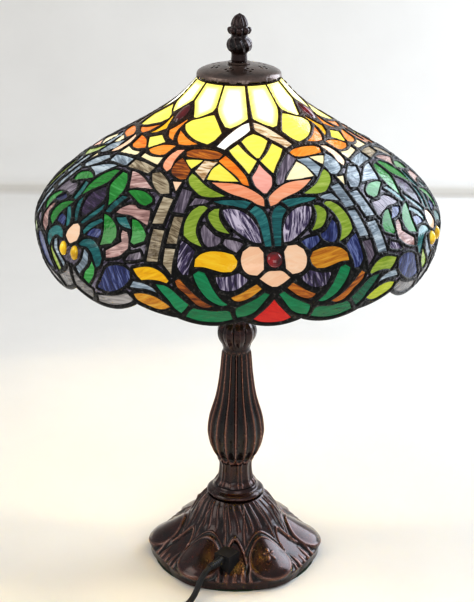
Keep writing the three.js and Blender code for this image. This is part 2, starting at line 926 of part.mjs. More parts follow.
const cordRoute = [
  [-26.8, -92.0, 29.2],
  [-29.1, -95.0, 28.1],
  [-31.6, -98.2, 26.0],
  [-34.1, -101.3, 22.9],
  [-36.5, -104.5, 18.3],
  [-39.0, -107.6, 12.9],
  [-41.5, -110.8, 8.7],
  [-43.9, -113.9, 6.1],
  [-46.4, -117.1, 4.5],
  [-48.8, -120.2, 3.6],
  [-51.3, -123.4, 3.2],
  [-53.6, -127.1, 3.2],
  [-55.6, -131.6, 3.2],
  [-57.0, -136.5, 3.2],
  [-57.8, -142.0, 3.2],
  [-57.9, -151.0, 3.2],
  [-57.9, -161.0, 3.2],
  [-57.9, -171.0, 3.2],
];
add("cord_lead", swept(cordRoute, cordRadius, cordSides, 20), blackPlastic);

const floorClearance = 0.1;
const coilHalf = (coilSpread * coilPitch) / 2 + cordRadius;
const coilTop = floorClearance + 2 * coilPitch;
const coil = turned(
  [
    [coilMiddle - coilHalf, floorClearance + cordRadius],
    [coilMiddle - coilHalf + cordRadius, floorClearance],
    [coilMiddle + coilHalf - cordRadius, floorClearance],
    [coilMiddle + coilHalf, floorClearance + cordRadius],
    [coilMiddle + coilHalf, coilTop - cordRadius],
    [coilMiddle + coilHalf - cordRadius, coilTop],
    [coilMiddle - coilHalf + cordRadius, coilTop],
    [coilMiddle - coilHalf, coilTop - cordRadius],
    [coilMiddle - coilHalf, floorClearance + cordRadius],
  ],
  28,
);
add("cord_coil", coil.translate(...coilCentre, 0), blackPlastic);

const tailRoute = [
  [-105, -248.6, 3.2],
  [-116, -248.6, 3.2],
  [-127, -248.6, 3.5],
  [-138, -248.6, 5.0],
  [-149, -248.6, 6.9],
  [-158, -248.6, 7.6],
];
add("cord_tail", swept(tailRoute, cordRadius, cordSides, 6), blackPlastic);

const [plugX, plugY] = tailRoute[tailRoute.length - 1];
const plugOutline = new THREE.Shape();
plugOutline.moveTo(0, -cordRadius - 2);
plugOutline.lineTo(0, cordRadius + 2);
plugOutline.lineTo(-0.45 * plugLength, plugWidth / 2);
plugOutline.lineTo(-plugLength, plugWidth / 2);
plugOutline.lineTo(-plugLength, -plugWidth / 2);
plugOutline.lineTo(-0.45 * plugLength, -plugWidth / 2);
plugOutline.closePath();
const plug = new THREE.ExtrudeGeometry(plugOutline, { depth: plugThickness, bevelEnabled: false });
add("plug_body", plug.translate(plugX - seatGap, plugY, floorClearance), blackPlastic);

for (const [side, hand] of [[-1, "a"], [1, "b"]]) {
  const blade = new THREE.BoxGeometry(bladeLength, bladeThickness, bladeWidth);
  blade.translate(
    plugX - 2 * seatGap - plugLength - bladeLength / 2,
    plugY + (side * bladeSpacing) / 2,
    floorClearance + plugThickness / 2,
  );
  add(`plug_blade_${hand}`, blade, brass);
}

export default lamp;
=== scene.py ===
import math

import bmesh
import bpy
import numpy as np
from mathutils import Matrix, Vector
from mathutils.geometry import delaunay_2d_cdt
from mathutils.kdtree import KDTree


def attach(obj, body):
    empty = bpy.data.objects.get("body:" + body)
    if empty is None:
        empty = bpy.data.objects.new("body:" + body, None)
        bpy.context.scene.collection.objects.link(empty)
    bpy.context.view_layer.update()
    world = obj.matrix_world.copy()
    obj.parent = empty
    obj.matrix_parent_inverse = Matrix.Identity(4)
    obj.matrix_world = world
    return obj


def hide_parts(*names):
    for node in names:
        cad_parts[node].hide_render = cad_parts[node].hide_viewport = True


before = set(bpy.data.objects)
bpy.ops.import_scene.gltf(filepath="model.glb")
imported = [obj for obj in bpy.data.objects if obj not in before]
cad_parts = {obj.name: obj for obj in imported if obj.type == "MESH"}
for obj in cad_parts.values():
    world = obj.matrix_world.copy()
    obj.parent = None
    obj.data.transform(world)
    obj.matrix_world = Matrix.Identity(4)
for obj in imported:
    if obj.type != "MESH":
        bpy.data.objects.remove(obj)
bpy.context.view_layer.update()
scene = bpy.context.scene

# ---------------------------------------------------------------------------
# Camera: stands in front of the lamp, a little above the shade's rim, and
# looks down on it. The colours are shown with no film curve, with a small
# change of exposure and gamma.
# ---------------------------------------------------------------------------
camera_distance = 1.3884
camera_height = 0.8002
camera_dip = 0.351
camera_lean = 0.009
lens_mm = 85.42

camera = bpy.data.objects.new("camera", bpy.data.cameras.new("camera"))
camera.data.lens = lens_mm
camera.data.sensor_width = 36
camera.data.clip_end = 50
camera.matrix_world = (
    Matrix.Translation((0, -camera_distance, camera_height))
    @ Matrix.Rotation(math.pi / 2 - camera_dip, 4, "X")
    @ Matrix.Rotation(camera_lean, 4, "Z")
)
scene.collection.objects.link(camera)
scene.camera = camera
scene.view_settings.view_transform = "Standard"
scene.view_settings.exposure = 0.25
scene.view_settings.gamma = 0.84

# ---------------------------------------------------------------------------
# Flex, strain relief, coil tie and plug: a round black two-core flex of
# 1.8 m leaves the grip in the base through a ribbed rubber sleeve, lies on
# the table, and its spare length is wound in a tied coil beside its plug.
# ---------------------------------------------------------------------------
mm = 0.001
flex_radius = 3.1
flex_exit = np.array([-13.73, -75.33, 30.0])
flex_heading = np.array([-0.6157, -0.788, 0.0])
relief_length = 20.0
relief_wide = 4.8
relief_narrow = 3.5
coil_centre = np.array([-105.0, -195.0])
coil_inner = 27.55
coil_outer = 46.45
coil_pitch = 6.3
coil_turns = 7
points_per_turn = 16
coil_bearing = -5.0
table_gap = 0.1

flex_lead = [
    (-26.8, -92.0, 29.2), (-29.1, -95.0, 28.1), (-31.6, -98.2, 26.0), (-34.1, -101.3, 22.9),
    (-36.5, -104.5, 18.3), (-39.0, -107.6, 12.9), (-41.5, -110.8, 8.7), (-43.9, -113.9, 6.1),
    (-46.4, -117.1, 4.5), (-48.8, -120.2, 3.6), (-51.3, -123.4, 3.2), (-53.6, -127.1, 3.2),
    (-55.6, -131.6, 3.2), (-57.0, -136.5, 3.2), (-57.8, -142.0, 3.2), (-57.9, -151.0, 3.2),
    (-57.9, -161.0, 3.2), (-57.9, -171.0, 3.2), (-57.9, -182.0, 3.2),
]
flex_tail = [
    (-116.0, -248.6, 3.2), (-127.0, -248.6, 3.5), (-138.0, -248.6, 5.0),
    (-149.0, -248.6, 6.9), (-158.0, -248.6, 7.6),
]


def coil_points():
    """Three turns inwards on the table, three outwards on top of them, then down to the tail."""
    points = []
    half = coil_turns // 2
    low = flex_radius + table_gap
    for k in range(coil_turns * points_per_turn + 1):
        turn = k / points_per_turn
        climb = min(max(turn - half, 0.0), 1.0)
        if turn <= half:
            radius = coil_outer - (coil_outer - coil_inner) * turn / half
        elif turn <= half + 1:
            radius = coil_inner - flex_radius * math.sin(math.pi * climb)
        else:
            radius = coil_inner + (coil_outer - coil_inner) * (turn - half - 1) / half
        bearing = math.radians(coil_bearing - 360 * turn)
        height = low + coil_pitch * climb * climb * (3 - 2 * climb)
        points.append((radius, bearing, height))
    last_quarter = 85.0
    tail_radius = 53.6
    for k in range(1, 7):
        share = k / 6
        ease = share * share * (3 - 2 * share)
        bearing = math.radians(coil_bearing - last_quarter * share)
        radius = coil_outer + (tail_radius - coil_outer) * ease
        points.append((radius, bearing, low + coil_pitch * (1 - ease)))
    return [
        (coil_centre[0] + r * math.cos(b), coil_centre[1] + r * math.sin(b), z)
        for r, b, z in points
    ]


def smooth_path(points, steps=6):
    """Points along a smooth curve that passes through all the given ones."""
    p = np.asarray(points, float)
    ends = np.vstack([2 * p[0] - p[1], p, 2 * p[-1] - p[-2]])
    made = []
    for i in range(1, len(ends) - 2):
        before, here, after, beyond = ends[i - 1 : i + 3]
        for k in range(steps):
            t = k / steps
            made.append(
                0.5
                * (
                    2 * here
                    + (after - before) * t
                    + (2 * before - 5 * here + 4 * after - beyond) * t * t
                    + (3 * here - before - 3 * after + beyond) * t**3
                )
            )
    made.append(p[-1])
    return np.array(made)


def linear(code):
    """Linear colour of a six-digit sRGB code."""
    channels = [int(code[i : i + 2], 16) / 255 for i in (0, 2, 4)]
    return [c / 12.92 if c <= 0.04045 else ((c + 0.055) / 1.055) ** 2.4 for c in channels] + [1.0]


def new_material(name):
    """A material with its node tree and its shader."""
    material = bpy.data.materials.new(name)
    material.use_nodes = True
    tree = material.node_tree
    return material, tree, tree.nodes["Principled BSDF"]


def add_node(tree, kind, settings=None, **sockets):
    """Adds a node; sockets are given by name, or as _0, _1 by place, as values or as links."""
    node = tree.nodes.new(kind)
    for key, value in (settings or {}).items():
        setattr(node, key, value)
    for key, value in sockets.items():
        place = key[1:]
        known = int(place) if key[0] == "_" and place.isdigit() else key.replace("_", " ")
        socket = node.inputs[known]
        if isinstance(value, bpy.types.NodeSocket):
            tree.links.new(value, socket)
        else:
            socket.default_value = value
    return node


def ramp(tree, factor, stops):
    """Colour ramp through (place, colour code) stops."""
    node = add_node(tree, "ShaderNodeValToRGB", Fac=factor)
    elements = node.color_ramp.elements
    while len(elements) < len(stops):
        elements.new(1.0)
    for element, (place, code) in zip(elements, stops):
        element.position = place
        element.color = linear(code)
    return node.outputs["Color"]


def fine_noise(tree, scale, detail=3.0, stretch=(1, 1, 1), rough=0.55):
    """Noise on the piece's own coordinates, in features per metre."""
    place = add_node(tree, "ShaderNodeTexCoord").outputs["Object"]
    moved = add_node(tree, "ShaderNodeMapping", Vector=place, Scale=stretch)
    noise = add_node(
        tree,
        "ShaderNodeTexNoise",
        Vector=moved.outputs[0],
        Scale=scale,
        Detail=detail,
        Roughness=rough,
    )
    return noise.outputs["Fac"]


def add_bump(tree, shader, height, strength, distance):
    bump = add_node(
        tree, "ShaderNodeBump", Height=height, Strength=strength, Distance=distance
    )
    tree.links.new(bump.outputs[0], shader.inputs["Normal"])


def rubber(name, dark, light, roughness):
    """Soft black plastic: a faint mottle and a fine grain."""
    material, tree, shader = new_material(name)
    mottle = fine_noise(tree, 90, 4)
    tree.links.new(ramp(tree, mottle, [(0.35, dark), (0.7, light)]), shader.inputs["Base Color"])
    shader.inputs["Roughness"].default_value = roughness
    shader.inputs["Specular IOR Level"].default_value = 0.45
    add_bump(tree, shader, fine_noise(tree, 1800, 2), 0.25, 0.0002)
    return material


def make_mesh(name, points, faces, material, smooth=True, sharp=None):
    """A mesh object at the origin from points in millimetres."""
    mesh = bpy.data.meshes.new(name)
    mesh.from_pydata((np.asarray(points, float) * mm).tolist(), [], faces)
    shell = bmesh.new()
    shell.from_mesh(mesh)
    bmesh.ops.recalc_face_normals(shell, faces=shell.faces)
    shell.to_mesh(mesh)
    shell.free()
    mesh.materials.append(material)
    mesh.polygons.foreach_set("use_smooth", [smooth] * len(mesh.polygons))
    if sharp:
        mesh.set_sharp_from_angle(angle=math.radians(sharp))
    mesh.update()
    made = bpy.data.objects.new(name, mesh)
    scene.collection.objects.link(made)
    return made


def grid_faces(rows, columns, closed_rows=False, closed_columns=True):
    """Quads of a grid of points, row after row."""
    faces = []
    for j in range(rows if closed_rows else rows - 1):
        below = (j + 1) % rows
        for i in range(columns if closed_columns else columns - 1):
            right = (i + 1) % columns
            faces.append(
                (j * columns + i, j * columns + right, below * columns + right, below * columns + i)
            )
    return faces


def turned(profile, sides, closed=False):
    """Points and faces of a turned piece. The profile is (radius, height), bottom to top
    outside; one that doesn't close on itself gets a point on the axis at each end."""
    bearing = np.linspace(0, 2 * math.pi, sides, endpoint=False)
    p = np.asarray(profile, float)
    points = np.stack(
        [
            p[:, :1] * np.cos(bearing),
            p[:, :1] * np.sin(bearing),
            np.repeat(p[:, 1:2], sides, 1),
        ],
        -1,
    ).reshape(-1, 3)
    faces = grid_faces(len(p), sides, closed_rows=closed)
    if not closed:
        low, high = len(points), len(points) + 1
        points = np.vstack([points, [[0, 0, p[0, 1]], [0, 0, p[-1, 1]]]])
        last = (len(p) - 1) * sides
        for i in range(sides):
            right = (i + 1) % sides
            faces.append((low, right, i))
            faces.append((high, last + i, last + right))
    return points, faces


def stood(points, foot, heading):
    """Turns a piece built along +Z to a heading and moves it to its foot."""
    turn = Vector((0, 0, 1)).rotation_difference(Vector(heading)).to_matrix()
    return np.asarray(points) @ np.array(turn).T + np.asarray(foot, float)


def around_path(path, outline, closed=False):
    """Points and faces of an outline (side, up) carried along a path, kept upright."""
    path = np.asarray(path, float)
    if closed:
        along = np.roll(path, -1, 0) - np.roll(path, 1, 0)
    else:
        along = np.gradient(path, axis=0)
    along /= np.linalg.norm(along, axis=1)[:, None]
    side = np.cross(along, [0, 0, 1])
    side /= np.linalg.norm(side, axis=1)[:, None]
    up = np.cross(side, along)
    points = [
        c + a * s + b * u for c, s, u in zip(path, side, up) for a, b in outline
    ]
    count = len(outline)
    faces = grid_faces(len(path), count, closed_rows=closed)
    if not closed:
        faces.append(tuple(range(count)))
        faces.append(tuple(reversed(range(len(points) - count, len(points)))))
    return np.array(points), faces


flex_black = rubber("flex_black", "060607", "141415", 0.42)
plug_black = rubber("plug_black", "08080a", "17171a", 0.5)

flex_start = [flex_exit + flex_heading * d for d in (0.0, 7.0, 14.0)]
flex_route = np.array([*flex_start, *flex_lead, *coil_points(), *flex_tail]) * mm
flex_curve = bpy.data.curves.new("flex", "CURVE")
flex_curve.dimensions = "3D"
flex_curve.bevel_depth = flex_radius * mm
flex_curve.bevel_resolution = 5
flex_curve.resolution_u = 6
flex_curve.use_fill_caps = True
spline = flex_curve.splines.new("BEZIER")
spline.bezier_points.add(len(flex_route) - 1)
for knot, place in zip(spline.bezier_points, flex_route):
    knot.co = place
    knot.handle_left_type = knot.handle_right_type = "AUTO"
flex_curve.materials.append(flex_black)
flex = bpy.data.objects.new("flex", flex_curve)
scene.collection.objects.link(flex)
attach(flex, "stand")
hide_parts("cord_lead", "cord_coil", "cord_tail")

# The sleeve: six ribs that get narrower towards its mouth.
sleeve_profile = [(0.05, 0.0), (relief_wide, 0.0)]
rib_count = 6
for k in range(rib_count):
    start = 2.5 + k * (relief_length - 3.5) / rib_count
    wide = relief_wide - (relief_wide - relief_narrow) * start / relief_length
    sleeve_profile += [(wide, start), (wide, start + 1.7), (wide - 0.6, start + 2.0)]
    sleeve_profile += [(wide - 0.6, start + 2.5)]
sleeve_profile += [(relief_narrow, relief_length), (flex_radius - 0.2, relief_length)]
relief_points, relief_faces = turned(sleeve_profile, 40)
relief_sleeve = make_mesh(
    "strain_relief_sleeve",
    stood(relief_points, flex_exit, flex_heading),
    relief_faces,
    plug_black,
    sharp=35,
)
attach(relief_sleeve, "stand")
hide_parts("strain_relief")

# The tie: a flat strap once round the bundle of turns, on the side away from the lamp.
tie_bearing = math.radians(-150)
tie_width = 5.0
tie_thickness = 0.9
bundle_middle = (coil_inner + coil_outer) / 2
bundle_half = (coil_outer - coil_inner) / 2 + flex_radius
bundle_top = table_gap + coil_pitch + 2 * flex_radius
tie_out = np.array([math.cos(tie_bearing), math.sin(tie_bearing), 0])
tie_along = np.array([-tie_out[1], tie_out[0], 0])
tie_loop = []
tie_corner = 4.0
for corner_x, corner_z, start in (
    (1, 1, 0),
    (-1, 1, 90),
    (-1, -1, 180),
    (1, -1, 270),
):
    for k in range(7):
        angle = math.radians(start + 15 * k)
        x = corner_x * (bundle_half - tie_corner) + tie_corner * math.cos(angle)
        middle = (bundle_top + table_gap) / 2
        z = middle + corner_z * (bundle_top / 2 - tie_corner) + tie_corner * math.sin(angle)
        tie_loop.append((x, z))
tie_points = []
for x, z in tie_loop:
    length = math.hypot(x, z - bundle_top / 2)
    lift = tie_thickness if z > 1 else 0.0
    outer = (x * (1 + tie_thickness / length), z + lift)
    for (u, v), w in (((x, z), -1), ((x, z), 1), (outer, 1), (outer, -1)):
        place = np.array([*coil_centre, 0]) + tie_out * (bundle_middle + u)
        tie_points.append(place + tie_along * w * tie_width / 2 + np.array([0, 0, v]))
coil_tie = make_mesh(
    "coil_tie", tie_points, grid_faces(len(tie_loop), 4, closed_rows=True), plug_black, sharp=35
)
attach(coil_tie, "stand")

# The plug: a moulded body, pinched where it is held, and two brass blades.
plug_length = 28.0
plug_width = 22.0
plug_height = 15.0
plug_nose = np.array([-158.3, -248.6, 7.6])
plug_rings = 40
plug_sides = 48


def plug_section(along):
    """Half width and half height of the plug at a share of its length from the flex."""
    swell = min(1.0, along / 0.45)
    waist = 1 - 0.1 * math.exp(-(((along - 0.62) / 0.12) ** 2))
    half_width = (flex_radius + 2 + (plug_width / 2 - flex_radius - 2) * swell**0.8) * waist
    half_height = flex_radius + 2.4 + (plug_height / 2 - flex_radius - 2.4) * swell
    end = min(along / 0.06, (1 - along) / 0.05, 1.0)
    return half_width * (0.86 + 0.14 * end), half_height * (0.86 + 0.14 * end)


plug_rows = []
for along in np.linspace(0, 1, plug_rings):
    half_width, half_height = plug_section(along)
    for angle in np.linspace(0, 2 * math.pi, plug_sides, endpoint=False):
        c, s = math.cos(angle), math.sin(angle)
        x = half_width * abs(c) ** 0.5 * (1 if c > 0 else -1)
        z = half_height * abs(s) ** 0.5 * (1 if s > 0 else -1)
        plug_rows.append(
            (plug_nose[0] - along * plug_length, plug_nose[1] - x, plug_nose[2] + z)
        )
plug_faces = grid_faces(plug_rings, plug_sides)
plug_end = (plug_rings - 1) * plug_sides
plug_faces += [tuple(reversed(range(plug_sides))), tuple(range(plug_end, plug_end + plug_sides))]
plug_mould = make_mesh("plug_mould", plug_rows, plug_faces, plug_black, sharp=50)
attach(plug_mould, "stand")
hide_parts("plug_body")

# ---------------------------------------------------------------------------
# Felt, base casting and cord grip: a green felt disc under a bell-shaped
# casting of zinc alloy, finished as antique bronze, rubbed to copper on
# its ridges and painted near black as shade in its hollows. Leaves run down
# it to six smooth ovals and a rolled wavy rim.
# ---------------------------------------------------------------------------
base_foot = 1.9
base_height = 70.0
base_radius = 90.6
base_bell = [
    (1.0, 0.0), (1.0, 0.09), (0.99, 0.14), (0.95, 0.2), (0.85, 0.28), (0.715, 0.39),
    (0.6, 0.53), (0.52, 0.68), (0.455, 0.82), (0.39, 0.93), (0.33, 1.0),
]
base_columns = 480
base_rows = 130
base_wall = 3.0
base_ovals = 6
oval_share = 0.34
oval_half_bearing = 19.0
oval_half_share = 0.22
leaf_count = 12


def bronze(name, deep, body, rubbed, roughness=0.32):
    """Cast metal in a dark brown finish, worn to copper where the piece says it is rubbed, and painted
    near black as shade in its hollows.
    """
    material, tree, shader = new_material(name)
    cloud = fine_noise(tree, 55, 5)
    patina = ramp(tree, cloud, [(0.3, deep), (0.55, body), (0.8, deep)])
    worn = add_node(tree, "ShaderNodeAttribute", {"attribute_name": "rub"}).outputs["Fac"]
    break_up = add_node(
        tree, "ShaderNodeMath", {"operation": "MULTIPLY"}, _0=worn, _1=fine_noise(tree, 700, 4)
    )
    shown = add_node(
        tree,
        "ShaderNodeMath",
        {"operation": "MULTIPLY", "use_clamp": True},
        _0=break_up.outputs[0],
        _1=1.7,
    )
    copper = add_node(tree, "ShaderNodeRGB")
    copper.outputs[0].default_value = linear(rubbed)
    mixed = add_node(
        tree,
        "ShaderNodeMix",
        {"data_type": "RGBA"},
        _0=shown.outputs[0],
        _6=patina,
        _7=copper.outputs[0],
    )
    # Painted shade: hollows in the relief are darkened towards near black, as if light did not reach
    # them.
    painted_hollow_shade = add_node(tree, "ShaderNodeAttribute", {"attribute_name": "painted_hollow_shade"}).outputs["Fac"]
    black = add_node(tree, "ShaderNodeRGB")
    black.outputs[0].default_value = linear("050202")
    shaded_hollows = add_node(
        tree,
        "ShaderNodeMix",
        {"data_type": "RGBA"},
        _0=painted_hollow_shade,
        _6=mixed.outputs[2],
        _7=black.outputs[0],
    )
    tree.links.new(shaded_hollows.outputs[2], shader.inputs["Base Color"])
    shader.inputs["Metallic"].default_value = 0.5
    shader.inputs["Coat Weight"].default_value = 0.45
    shader.inputs["Coat Roughness"].default_value = 0.12
    gloss = add_node(
        tree,
        "ShaderNodeMapRange",
        Value=fine_noise(tree, 240, 3),
        To_Min=roughness - 0.08,
        To_Max=roughness + 0.14,
    )
    tree.links.new(gloss.outputs[0], shader.inputs["Roughness"])
    add_bump(tree, shader, fine_noise(tree, 420, 4), 0.3, 0.0005)
    return material


def along_outline(outline, count, scale=(1.0, 1.0), foot=0.0):
    """Evenly spaced points of a smooth outline, and the outward direction at each."""
    smooth = smooth_path([(r * scale[0], foot + h * scale[1]) for r, h in outline], 12)
    steps = np.r_[0, np.cumsum(np.linalg.norm(np.diff(smooth, axis=0), axis=1))]
    wanted = np.linspace(0, steps[-1], count)
    line = np.stack([np.interp(wanted, steps, smooth[:, i]) for i in (0, 1)], 1)
    heading = np.gradient(line, axis=0)
    heading /= np.linalg.norm(heading, axis=1)[:, None]
    return line, np.stack([heading[:, 1], -heading[:, 0]], 1)


def soft_step(low, high, value):
    t = np.clip((value - low) / (high - low), 0, 1)
    return t * t * (3 - 2 * t)


def hump(value, width):
    return np.exp(-((value / width) ** 2))


def fold(bearing, count, start=0.0):
    """Degrees from the nearest of a number of evenly spaced bearings."""
    step = 360 / count
    return (bearing - start + step / 2) % step - step / 2


def wear_and_hollow_shade(relief, reach=3, gain=1.0):
    """How much each point stands above its neighbours, so how much it is rubbed; on the relief turned
    over, how deep it lies, for the painted shade in the hollows.
    """
    around = relief.copy()
    for k in range(1, reach + 1):
        around = around + np.roll(relief, k, 1) + np.roll(relief, -k, 1)
    for_rows = np.pad(around / (2 * reach + 1), ((reach, reach), (0, 0)), mode="edge")
    blurred = sum(for_rows[k : k + len(relief)] for k in range(2 * reach + 1)) / (2 * reach + 1)
    return np.clip((relief - blurred) * gain, 0, 1)


def cast_piece(name, line, outward, relief, material, wall=0.0, hole=0.0, worn=1.0):
    """A turned casting with relief: an outer skin, closed across its ends, or walled."""
    rows, sides = relief.shape
    bearing = np.linspace(0, 2 * math.pi, sides, endpoint=False)
    radius = line[:, :1] + outward[:, :1] * relief
    height = line[:, 1:2] + outward[:, 1:2] * relief
    rub = wear_and_hollow_shade(relief, 3, worn)
    # Painted shade: how deep each point lies below its neighbours, used to darken the hollows.
    painted_hollow_shade = wear_and_hollow_shade(-relief, 8, 1.3)
    if wall:
        inner = np.maximum(line - outward * wall, [hole, line[0, 1]])
        inner = inner[np.linspace(rows - 1, 0, max(3, rows // 9)).astype(int)]
        radius = np.vstack([radius, np.repeat(inner[:, :1], sides, 1)])
        height = np.vstack([height, np.repeat(inner[:, 1:2], sides, 1)])
        rub = np.vstack([rub, np.zeros((len(inner), sides))])
        painted_hollow_shade = np.vstack([painted_hollow_shade, np.zeros((len(inner), sides))])
    points = np.stack([radius * np.cos(bearing), radius * np.sin(bearing), height], -1)
    total = len(radius)
    points = points.reshape(-1, 3)
    faces = grid_faces(total, sides, closed_rows=bool(wall))
    rub = rub.reshape(-1)
    painted_hollow_shade = painted_hollow_shade.reshape(-1)
    if not wall:
        low, high = len(points), len(points) + 1
        points = np.vstack([points, [[0, 0, height[0].mean()], [0, 0, height[-1].mean()]]])
        rub = np.r_[rub, 0, 0]
        painted_hollow_shade = np.r_[painted_hollow_shade, 0, 0]
        last = (total - 1) * sides
        for i in range(sides):
            right = (i + 1) % sides
            faces.append((low, right, i))
            faces.append((high, last + i, last + right))
    made = make_mesh(name, points, faces, material, sharp=60)
    for label, values in (("rub", rub), ("painted_hollow_shade", painted_hollow_shade)):
        made.data.attributes.new(label, "FLOAT", "POINT").data.foreach_set("value", values)
    return made


antique_bronze = bronze("antique_bronze", "0b0303", "300d0a", "8a6152", roughness=0.22)

base_line, base_out = along_outline(
    base_bell, base_rows, (base_radius, base_height), base_foot
)
share = (base_line[:, 1:2] - base_foot) / base_height
bearing = np.linspace(0, 360, base_columns, endpoint=False)[None, :]
wave = np.cos(np.radians(6 * bearing))
relief = (2.8 * wave - 1.2) * soft_step(0.75, 0.2, share)
from_oval = fold(bearing, base_ovals)
narrowing = 1 - 0.45 * soft_step(0.2, 0.75, share)
oval = np.sqrt(
    (from_oval / (oval_half_bearing * narrowing)) ** 2
    + ((share - oval_share) / oval_half_share) ** 2
)
inside_oval = soft_step(1.05, 0.9, oval)
relief = relief + inside_oval * (4.4 - 2.4 * oval**2) + 1.7 * hump(oval - 1.0, 0.075)
relief = relief + 0.9 * hump(oval - 1.28, 0.06) * soft_step(0.2, 0.35, share)
between = fold(bearing, base_ovals, 30)
knuckle_zone = soft_step(13.5, 11.5, abs(between)) * soft_step(0.3, 0.22, share)
knuckle_zone = knuckle_zone * soft_step(0.1, 0.15, share) * (1 - inside_oval)
relief = relief + 2.4 * knuckle_zone * (abs(np.cos(np.radians(between * 30))) ** 0.8 - 0.4)
arch_width = 10 - 3 * soft_step(0.3, 0.7, share)
arch = np.sqrt((between / arch_width) ** 2 + ((share - 0.3) / 0.27) ** 2)
arch_zone = soft_step(0.28, 0.34, share) * (1 - inside_oval)
relief = relief + 1.8 * hump(arch - 1, 0.1) * arch_zone
relief = relief - 1.4 * soft_step(0.95, 0.8, arch) * arch_zone
from_leaf = fold(bearing + 5 * np.sin(share * 7), leaf_count, 30)
leaf_zone = soft_step(0.6, 0.7, share) * soft_step(1.0, 0.96, share)
leaf_edge = 1.3 * hump(abs(from_leaf) - 11, 1.3)
leaf_vein = 0.8 * hump(from_leaf, 1.6)
relief = relief + leaf_zone * (leaf_edge + leaf_vein - 0.5)
flow = abs(from_oval) - 19 + 26 * (share - 0.5) ** 2
relief = relief + 1.2 * hump(flow, 1.3) * soft_step(0.45, 0.55, share) * soft_step(1, 0.9, share)
relief = relief + 0.9 * hump(share - 0.12, 0.035)
star_bearing = 300.0
star_x = (bearing - star_bearing) * 1.35
star_y = (share - oval_share) * 115
star_far = np.sqrt(star_x**2 + star_y**2)
star_way = np.arctan2(star_y, star_x)
star_edge = 4.4 + 3.0 * np.cos(5 * (star_way - math.pi / 2))
relief = relief + 0.8 * soft_step(0.8, -0.4, star_far - star_edge)
relief[0] = relief[1]
base_shell = cast_piece(
    "base_shell", base_line, base_out, relief, antique_bronze, wall=base_wall, hole=5.4
)
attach(base_shell, "stand")
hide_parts("base_casting")

felt, felt_tree, felt_shader = new_material("green_felt")
felt_colour = ramp(felt_tree, fine_noise(felt_tree, 900, 5), [(0.3, "12261a"), (0.7, "1d3a24")])
felt_tree.links.new(felt_colour, felt_shader.inputs["Base Color"])
felt_shader.inputs["Roughness"].default_value = 0.95
add_bump(felt_tree, felt_shader, fine_noise(felt_tree, 2600, 3), 0.6, 0.0004)


def dress(material, *names):
    """Gives CAD pieces their material."""
    for name in names:
        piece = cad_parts[name]
        piece.data.materials.clear()
        piece.data.materials.append(material)


dress(felt, "base_felt")
dress(plug_black, "cord_grip", "inner_lead")

# ---------------------------------------------------------------------------
# Plinth ring, column and capital: three castings threaded on the centre
# tube. The column swells like a vase and has sixteen flutes that end in round
# tongues above a waist of scrolled panels; the capital is a ring of petals.
# ---------------------------------------------------------------------------
plinth_foot = 72.2
plinth_height = 12.2
plinth_radius = 29.3
plinth_outline = [
    (0.98, 0.0), (1.0, 0.12), (1.02, 0.3), (1.0, 0.5), (0.93, 0.62), (0.86, 0.7),
    (0.84, 0.8), (0.82, 0.9), (0.79, 1.0),
]
column_foot = 84.7
column_height = 157.0
column_outline = [
    (22.3, 0.0), (18.7, 0.04), (17.3, 0.14), (19.5, 0.19), (26.1, 0.27), (29.0, 0.35),
    (29.5, 0.4), (27.5, 0.5), (20.8, 0.65), (17.1, 0.8), (15.4, 0.92), (14.0, 1.0),
]
column_widest = 29.5
flute_count = 16
flute_depth = 3.5
capital_foot = 242.0
capital_height = 46.0
capital_radius = 19.8
capital_outline = [
    (0.74, 0.0), (0.8, 0.12), (0.94, 0.24), (1.0, 0.37), (0.93, 0.5), (0.76, 0.66),
    (0.78, 0.8), (1.02, 1.0),
]
petal_count = 9
column_sides = 324
tube_hole = 5.3

line, outward = along_outline(
    plinth_outline, 40, (plinth_radius, plinth_height), plinth_foot
)
bearing = np.linspace(0, 360, column_sides, endpoint=False)[None, :]
level = (line[:, 1:2] - plinth_foot) / plinth_height
scroll = abs(np.cos(np.radians(3 * bearing))) ** 0.5
relief = 1.1 * scroll * soft_step(0.9, 0.3, level) - 0.9 + 0.7 * hump(level - 0.3, 0.12)
plinth = cast_piece(
    "plinth_disc", line, outward, relief, antique_bronze, wall=6.0, hole=tube_hole
)
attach(plinth, "stand")
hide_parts("plinth_ring")

line, outward = along_outline(column_outline, 260, (1.0, column_height), column_foot)
level = (line[:, 1:2] - column_foot) / column_height
from_ridge = abs(fold(bearing, flute_count)) / (180 / flute_count)
tongue = 0.185 + 0.045 * np.sqrt(np.clip(1 - (1 - from_ridge) ** 2, 0, 1))
in_flute = soft_step(0.0, 0.022, level - (0.41 - tongue)) * soft_step(0.985, 0.955, level)
groove = np.sin(math.pi / 2 * np.clip(from_ridge * 1.12, 0, 1)) ** 0.75
narrow = line[:, :1] / column_widest
relief = in_flute * (0.6 - flute_depth * narrow**0.5 * groove)
edge_lift = in_flute * 0.5 * hump(from_ridge - 0.13, 0.1)
below = soft_step(0.205, 0.17, level)
panel = abs(fold(bearing, 6, 15)) / 30
relief = relief + below * (0.8 * hump(panel - 0.8, 0.12) + 1.0 * hump(panel, 0.22) - 0.5)
relief = relief + 0.9 * hump(level - 0.19, 0.012) * soft_step(0.1, 0.6, from_ridge)
relief = relief + 1.1 * hump(level - 0.018, 0.018) * (0.5 + 0.5 * panel) + edge_lift
column = cast_piece(
    "column_vase", line, outward, relief, antique_bronze, wall=5.0, hole=tube_hole, worn=2.0
)
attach(column, "stand")
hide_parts("column_casting")

